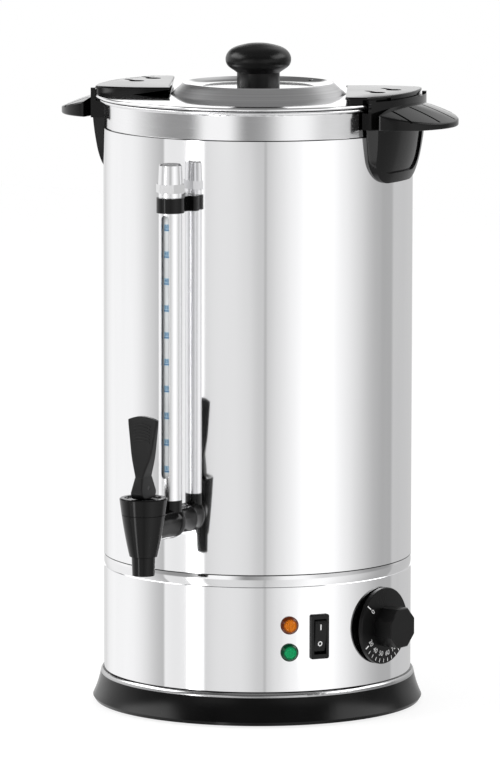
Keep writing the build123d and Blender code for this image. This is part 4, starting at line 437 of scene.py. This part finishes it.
RUBBER = plastic("rubber_black", grey(0.02), grey(0.03), (0.7, 0.8), 0.4, 0.2)
SILICONE = plastic("grey_silicone", grey(0.16), grey(0.2), (0.5, 0.6), 0.4, 0.1)
PALE = plastic("pale_plastic", (0.62, 0.6, 0.55), (0.7, 0.68, 0.62), (0.4, 0.5), 0.5, 0.1)
# the second colour of each lamp cap is the painted light in its dome
AMBER = lens("amber_lens", (0.11, 0.018, 0.001), (1.0, 0.27, 0.012), "lamp_amber")
GREEN = lens("green_lens", (0.0, 0.04, 0.015), (0.01, 0.50, 0.17), "lamp_green")
MILKY = milky("milky_tube")
WHITE_INK = ink("white_ink", (0.9, 0.9, 0.9))
BLUE_INK = ink("blue_ink", (0.03, 0.14, 0.34))
PALE_BLUE_INK = ink("pale_blue_ink", (0.33, 0.50, 0.62))

# Nodes of each finish. The screws, nuts, clips and springs that aren't named have plain zinc.
FINISHES = (
    (SHELL, ("outer_shell", "base_housing")),
    (BAND, ("joint_ring",)),
    (TRIM, ("base_trim_ring",)),
    (NECK, ("inner_tank",)),
    (LID_STEEL, ("lid_pan",)),
    (DULL, ("base_plate", "heating_element")),
    (GUARD, ("gauge_guard",)),
    (NICKEL, ("gauge_cap", "tap_stem")),
    (BRASS, ("element_nuts", "thermostat_bulb", "tap_nut")),
    (BLACK_ZINC, ("lug_screws", "lever_pin")),
    (FOOT_BLACK, ("base_ring",)),
    (GLOSS_BLACK, ("handle_left", "handle_right", "lug_left", "lug_right")),
    (GLOSS_BLACK, ("gauge_tee", "tap_body", "tap_cap", "gauge_clamp")),
    (MATTE_BLACK, ("tap_lever",)),
    (SATIN_BLACK, ("lid_knob", "thermostat_knob", "switch_bezel", "switch_rocker")),
    (SATIN_BLACK, ("cord_gland", "thermal_cutout", "tap_washers")),
    (RUBBER, ("foot_pads", "lid_seal")),
    (SILICONE, ("tap_seat_cup", "gauge_seals")),
    (PALE, ("thermostat_body", "terminal_block")),
    (AMBER, ("lamp_amber",)),
    (GREEN, ("lamp_green",)),
    (MILKY, ("gauge_glass",)),
)


def dress_nodes():
    """Give every CAD node its finish and its rounded shading."""
    finish_of = {name: material for material, names in FINISHES for name in names}
    for name, obj in NODES.items():
        obj.data.materials.clear()
        obj.data.materials.append(finish_of.get(name, ZINC))
        smooth(obj, SMOOTH_LIMITS.get(name, SMOOTH_LIMIT))


# ======================= printed marks =======================


def frame_matrix(x_axis, y_axis, z_axis, origin):
    made = Matrix((x_axis, y_axis, z_axis)).transposed().to_4x4()
    made.translation = origin
    return made


def wall_matrix(place, out):
    """Frame at a place on the urn's wall: X round the urn, Y up and Z outwards."""
    out = out.normalized()
    return frame_matrix(UP.cross(out), UP, out, place)


def add_mesh(name, points, faces, material, body, slot):
    mesh = bpy.data.meshes.new(name)
    mesh.from_pydata(points, [], faces)
    mesh.materials.append(material)
    made = bpy.data.objects.new(name, mesh)
    SCENE.collection.objects.link(made)
    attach(made, body)


def strip(outline, inner=None):
    """Points and faces of a thin printed shape: a full outline, or a ring with an inner one."""
    count = len(outline)
    rings = [outline] if inner is None else [outline, inner]
    points = [Vector((x, y, z)) for z in (0.0, INK) for ring in rings for x, y in ring]
    layer = count * len(rings)
    faces = []
    for i in range(count):
        j = (i + 1) % count
        faces.append((i, j, layer + j, layer + i))
        if inner is not None:
            faces.append((count + j, count + i, layer + count + i, layer + count + j))
            faces.append((i, count + i, count + j, j))
            faces.append((layer + j, layer + count + j, layer + count + i, layer + i))
    if inner is None:
        faces.append(tuple(reversed(range(count))))
        faces.append(tuple(range(layer, layer + count)))
    return points, faces


def block(width, height, steps=1):
    """Outline of a rectangle, cut into steps along its width so that it can be bent."""
    across = [width * (i / steps - 0.5) for i in range(steps + 1)]
    low = [(x, -height / 2) for x in across]
    high = [(x, height / 2) for x in reversed(across)]
    return low + high


def oval(width, height, count=28):
    turns = [2 * pi * i / count for i in range(count)]
    return [(width / 2 * cos(t), height / 2 * sin(t)) for t in turns]


def letters(word, height):
    """Points and faces of a plain number in the built-in font, centred on the origin."""
    curve = bpy.data.curves.new("number_text", "FONT")
    curve.body = word
    curve.size = height * 1.35  # the font's size over the height of its digits
    curve.align_x = "CENTER"
    curve.align_y = "CENTER"
    curve.extrude = INK / 2
    curve.resolution_u = 3
    holder = bpy.data.objects.new("number_text", curve)
    SCENE.collection.objects.link(holder)
    bpy.context.view_layer.update()
    mesh = bpy.data.meshes.new_from_object(holder)
    bpy.data.objects.remove(holder)
    points = [v.co + UP * (INK / 2) for v in mesh.vertices]
    faces = [tuple(f.vertices) for f in mesh.polygons]
    bpy.data.meshes.remove(mesh)
    return points, faces


def set_on(shape, matrix):
    """Shape put on a surface frame."""
    points, faces = shape
    return [matrix @ point for point in points], faces


def wrap(shape, radius, height):
    """Shape bent round the gauge tube at this height."""
    points, faces = shape
    bent = []
    for point in points:
        turn = point.x / radius
        reach = radius + point.z
        bent.append(Vector((reach * sin(turn), TUBE_Y - reach * cos(turn), height + point.y)))
    return bent, faces


def gauge_scale():
    """Blue marks down the tube: a number over a line on a pale patch for each step."""
    for count in range(1, SCALE_STEPS + 1):
        height = SCALE_FIRST + (SCALE_LAST - SCALE_FIRST) * (count - 1) / (SCALE_STEPS - 1)
        patch = wrap(strip(block(*SCALE_PATCH, BEND_STEPS)), TUBE_R, height)
        add_mesh(f"scale_patch_{count}", *patch, PALE_BLUE_INK, "urn", "clear_tube")
        bar = strip(block(*SCALE_LINE, BEND_STEPS))
        line = wrap(bar, TUBE_R + INK, height - SCALE_LINE_DROP)
        add_mesh(f"scale_line_{count}", *line, BLUE_INK, "urn", "clear_tube")
        word = letters(str(SCALE_UNIT * count), SCALE_NUMBER_H)
        number = wrap(word, TUBE_R + INK, height + SCALE_NUMBER_RISE)
        add_mesh(f"scale_number_{count}", *number, BLUE_INK, "urn", "clear_tube")


def dial_matrix(turn, radius):
    """Frame on the coned face of the dial: Y towards its centre and Z outwards."""
    rise = (DIAL_GRIP_H - DIAL_EDGE_H) / (DIAL_EDGE_R - DIAL_GRIP_R)
    height = DIAL_EDGE_H + rise * (DIAL_EDGE_R - radius) + INK_LIFT
    outward = Vector((cos(radians(turn)), sin(radians(turn)), 0))
    normal = (UP + outward * rise).normalized()
    inward = (UP * rise - outward).normalized()
    face = frame_matrix(inward.cross(normal), inward, normal, outward * radius + UP * height)
    joint = JOINTS["dial_turn"]
    return wall_matrix(Vector(joint["pos_m"]), -Vector(joint["axis"])) @ face


def dial_mark(name, shape, turn, radius):
    placed = set_on(shape, dial_matrix(turn, radius))
    add_mesh(name, *placed, WHITE_INK, "dial", "pale_plastic")


def dial_scale():
    """White marks of the dial: the off mark, and a scale of ticks with a number at every second."""
    dial_mark("dial_off_tick", strip(block(*DIAL_OFF_TICK)), DIAL_OFF_TURN, DIAL_OFF_TICK_R)
    zero = letters("0", DIAL_OFF_NUMBER_H)
    dial_mark("dial_off_number", zero, DIAL_OFF_TURN, DIAL_OFF_NUMBER_R)
    for step in range(DIAL_STEPS):
        turn = DIAL_FIRST_TURN + DIAL_STEP_TURN * step
        size = DIAL_FIRST_TICK if step == 0 else DIAL_TICK
        dial_mark(f"dial_tick_{step + 1}", strip(block(*size)), turn, DIAL_TICK_R)
        if step % 2 == 0:
            word = letters(str(DIAL_FIRST_NUMBER + DIAL_UNIT * step), DIAL_NUMBER_H)
            dial_mark(f"dial_number_{step + 1}", word, turn, DIAL_NUMBER_R)


def rocker_matrix(along):
    """Frame on the rocker's face at a distance from its pivot, up or down its length."""
    side = 1 if along > 0 else -1
    normal = Vector((0, side * ROCKER_FALL, 1)).normalized()
    height = ROCKER_RIDGE_H - ROCKER_FALL * abs(along) + INK_LIFT
    face = frame_matrix(ACROSS, normal.cross(ACROSS), normal, Vector((0, along, height)))
    tilt = Matrix.Rotation(radians(ROCKER_TILT), 4, "X")
    joint = JOINTS["switch_rock"]
    return wall_matrix(Vector(joint["pos_m"]), UP.cross(Vector(joint["axis"]))) @ tilt @ face


def rocker_marks():
    """I and O of the switch."""
    on_mark = set_on(strip(block(*ON_MARK)), rocker_matrix(ON_MARK_PLACE))
    add_mesh("rocker_on_mark", *on_mark, WHITE_INK, "rocker", "pale_plastic")
    ring = strip(oval(*OFF_MARK_OUTER), oval(*OFF_MARK_INNER))
    off_mark = set_on(ring, rocker_matrix(OFF_MARK_PLACE))
    add_mesh("rocker_off_mark", *off_mark, WHITE_INK, "rocker", "pale_plastic")


# ======================= studio =======================


def build_world():
    """White for the camera, studio cards for metal and glass, and a level soft light."""
    world = bpy.data.worlds.new("studio")
    SCENE.world = world
    world.use_nodes = True
    nodes = Nodes(world.node_tree)
    x, y, z = nodes.coordinates("Generated")
    azimuth = nodes.math("ARCTAN2", x, nodes.math("MULTIPLY", y, -1.0))

    def cards(base, rows):
        level = base
        for centre, half, soft, strength in rows:
            away = nodes.math("WRAP", nodes.math("SUBTRACT", azimuth, radians(centre)), pi, -pi)
            distance = nodes.math("ABSOLUTE", away)
            fade = radians(half), radians(half + soft), "SMOOTHSTEP"
            level = nodes.math("ADD", level, nodes.spread(distance, strength, 0.0, *fade))
        return level

    def over(below, above, heights):
        share = nodes.spread(z, 0.0, 1.0, *heights, "SMOOTHSTEP")
        return nodes.blend(below, above, share)

    seen = over(cards(LOW_BASE, LOW_CARDS), cards(HIGH_BASE, HIGH_CARDS), LOW_TO_HIGH)
    seen = over(seen, cards(SKY_BASE, SKY_CARDS), HIGH_TO_SKY)
    seen = over(seen, ZENITH, SKY_TO_ZENITH)
    soft_light = nodes.math("ADD", SOFT_LEVEL, nodes.math("MULTIPLY", z, SOFT_RISE))
    rays = nodes.node("ShaderNodeLightPath").outputs
    mirror = nodes.math("MAXIMUM", rays["Is Glossy Ray"], rays["Is Transmission Ray"])
    level = nodes.blend(soft_light, seen, mirror)
    level = nodes.blend(level, 1.0, rays["Is Camera Ray"])
    background = nodes.tree.nodes["Background"].inputs
    background["Color"].default_value = (1, 1, 1, 1)
    nodes.put(level, background["Strength"])


def build_floor():
    """Pale floor that keeps a faint shadow and is left out of reflections."""
    bpy.ops.mesh.primitive_plane_add(size=FLOOR_SIZE)
    floor = bpy.context.object
    floor.name = "floor"
    shader = Shader("pale_floor", Base_Color=(0.9, 0.9, 0.9, 1))
    patches = shader.node("ShaderNodeTexNoise", {"Scale": 3.0}).outputs[0]
    shader.rough(shader.spread(patches, 0.6, 0.65, 0.0, 1.0))
    glow = shader.node("ShaderNodeEmission", {"Strength": FLOOR_GLOW}).outputs[0]
    camera_ray = shader.node("ShaderNodeLightPath").outputs["Is Camera Ray"]
    share = shader.math("MULTIPLY", camera_ray, FLOOR_GLOW_SHARE)
    paint = shader.principled.outputs[0]
    mix = shader.node("ShaderNodeMixShader", {0: share, 1: paint, 2: glow}).outputs[0]
    shader.put(mix, shader.tree.nodes["Material Output"].inputs["Surface"])
    floor.data.materials.append(shader.material)
    floor.visible_glossy = False
    floor.visible_transmission = False


def add_softbox(name, azimuth, distance, height, power):
    """Area lamp that faces the urn's middle and stays out of mirror reflections."""
    lamp = bpy.data.lights.new(name, "AREA")
    lamp.shape = "RECTANGLE"
    lamp.size, lamp.size_y = SOFTBOX_SIZE
    lamp.energy = power
    made = bpy.data.objects.new(name, lamp)
    a = radians(azimuth)
    made.location = (distance * sin(a), -distance * cos(a), height)
    aim = UP * AIM_HEIGHT - made.location
    made.rotation_euler = aim.to_track_quat("-Z", "Y").to_euler()
    made.visible_glossy = False
    SCENE.collection.objects.link(made)


def build_camera():
    """Camera at the photo's place, turned round the urn to the photo's side."""
    camera = bpy.data.cameras.new("camera")
    camera.sensor_fit = "VERTICAL"
    camera.sensor_height = SENSOR
    camera.lens = CAMERA_LENS
    made = bpy.data.objects.new("camera", camera)
    turn = Matrix.Rotation(radians(CAMERA_AZIMUTH), 3, "Z")
    yaw, pitch, roll = radians(CAMERA_YAW), radians(CAMERA_PITCH), radians(CAMERA_ROLL)
    forward = Vector((sin(yaw) * cos(pitch), cos(yaw) * cos(pitch), -sin(pitch)))
    level = Vector((cos(yaw), -sin(yaw), 0))
    steep = level.cross(forward)
    right = level * cos(roll) + steep * sin(roll)
    up = steep * cos(roll) - level * sin(roll)
    place = turn @ Vector((0, -CAMERA_DISTANCE, CAMERA_HEIGHT))
    made.matrix_world = frame_matrix(turn @ right, turn @ up, turn @ -forward, place)
    SCENE.collection.objects.link(made)
    SCENE.camera = made


dress_nodes()
gauge_scale()
dial_scale()
rocker_marks()
build_world()
build_floor()
for softbox in SOFTBOXES:
    add_softbox(*softbox)
build_camera()
SCENE.view_settings.view_transform = "Standard"
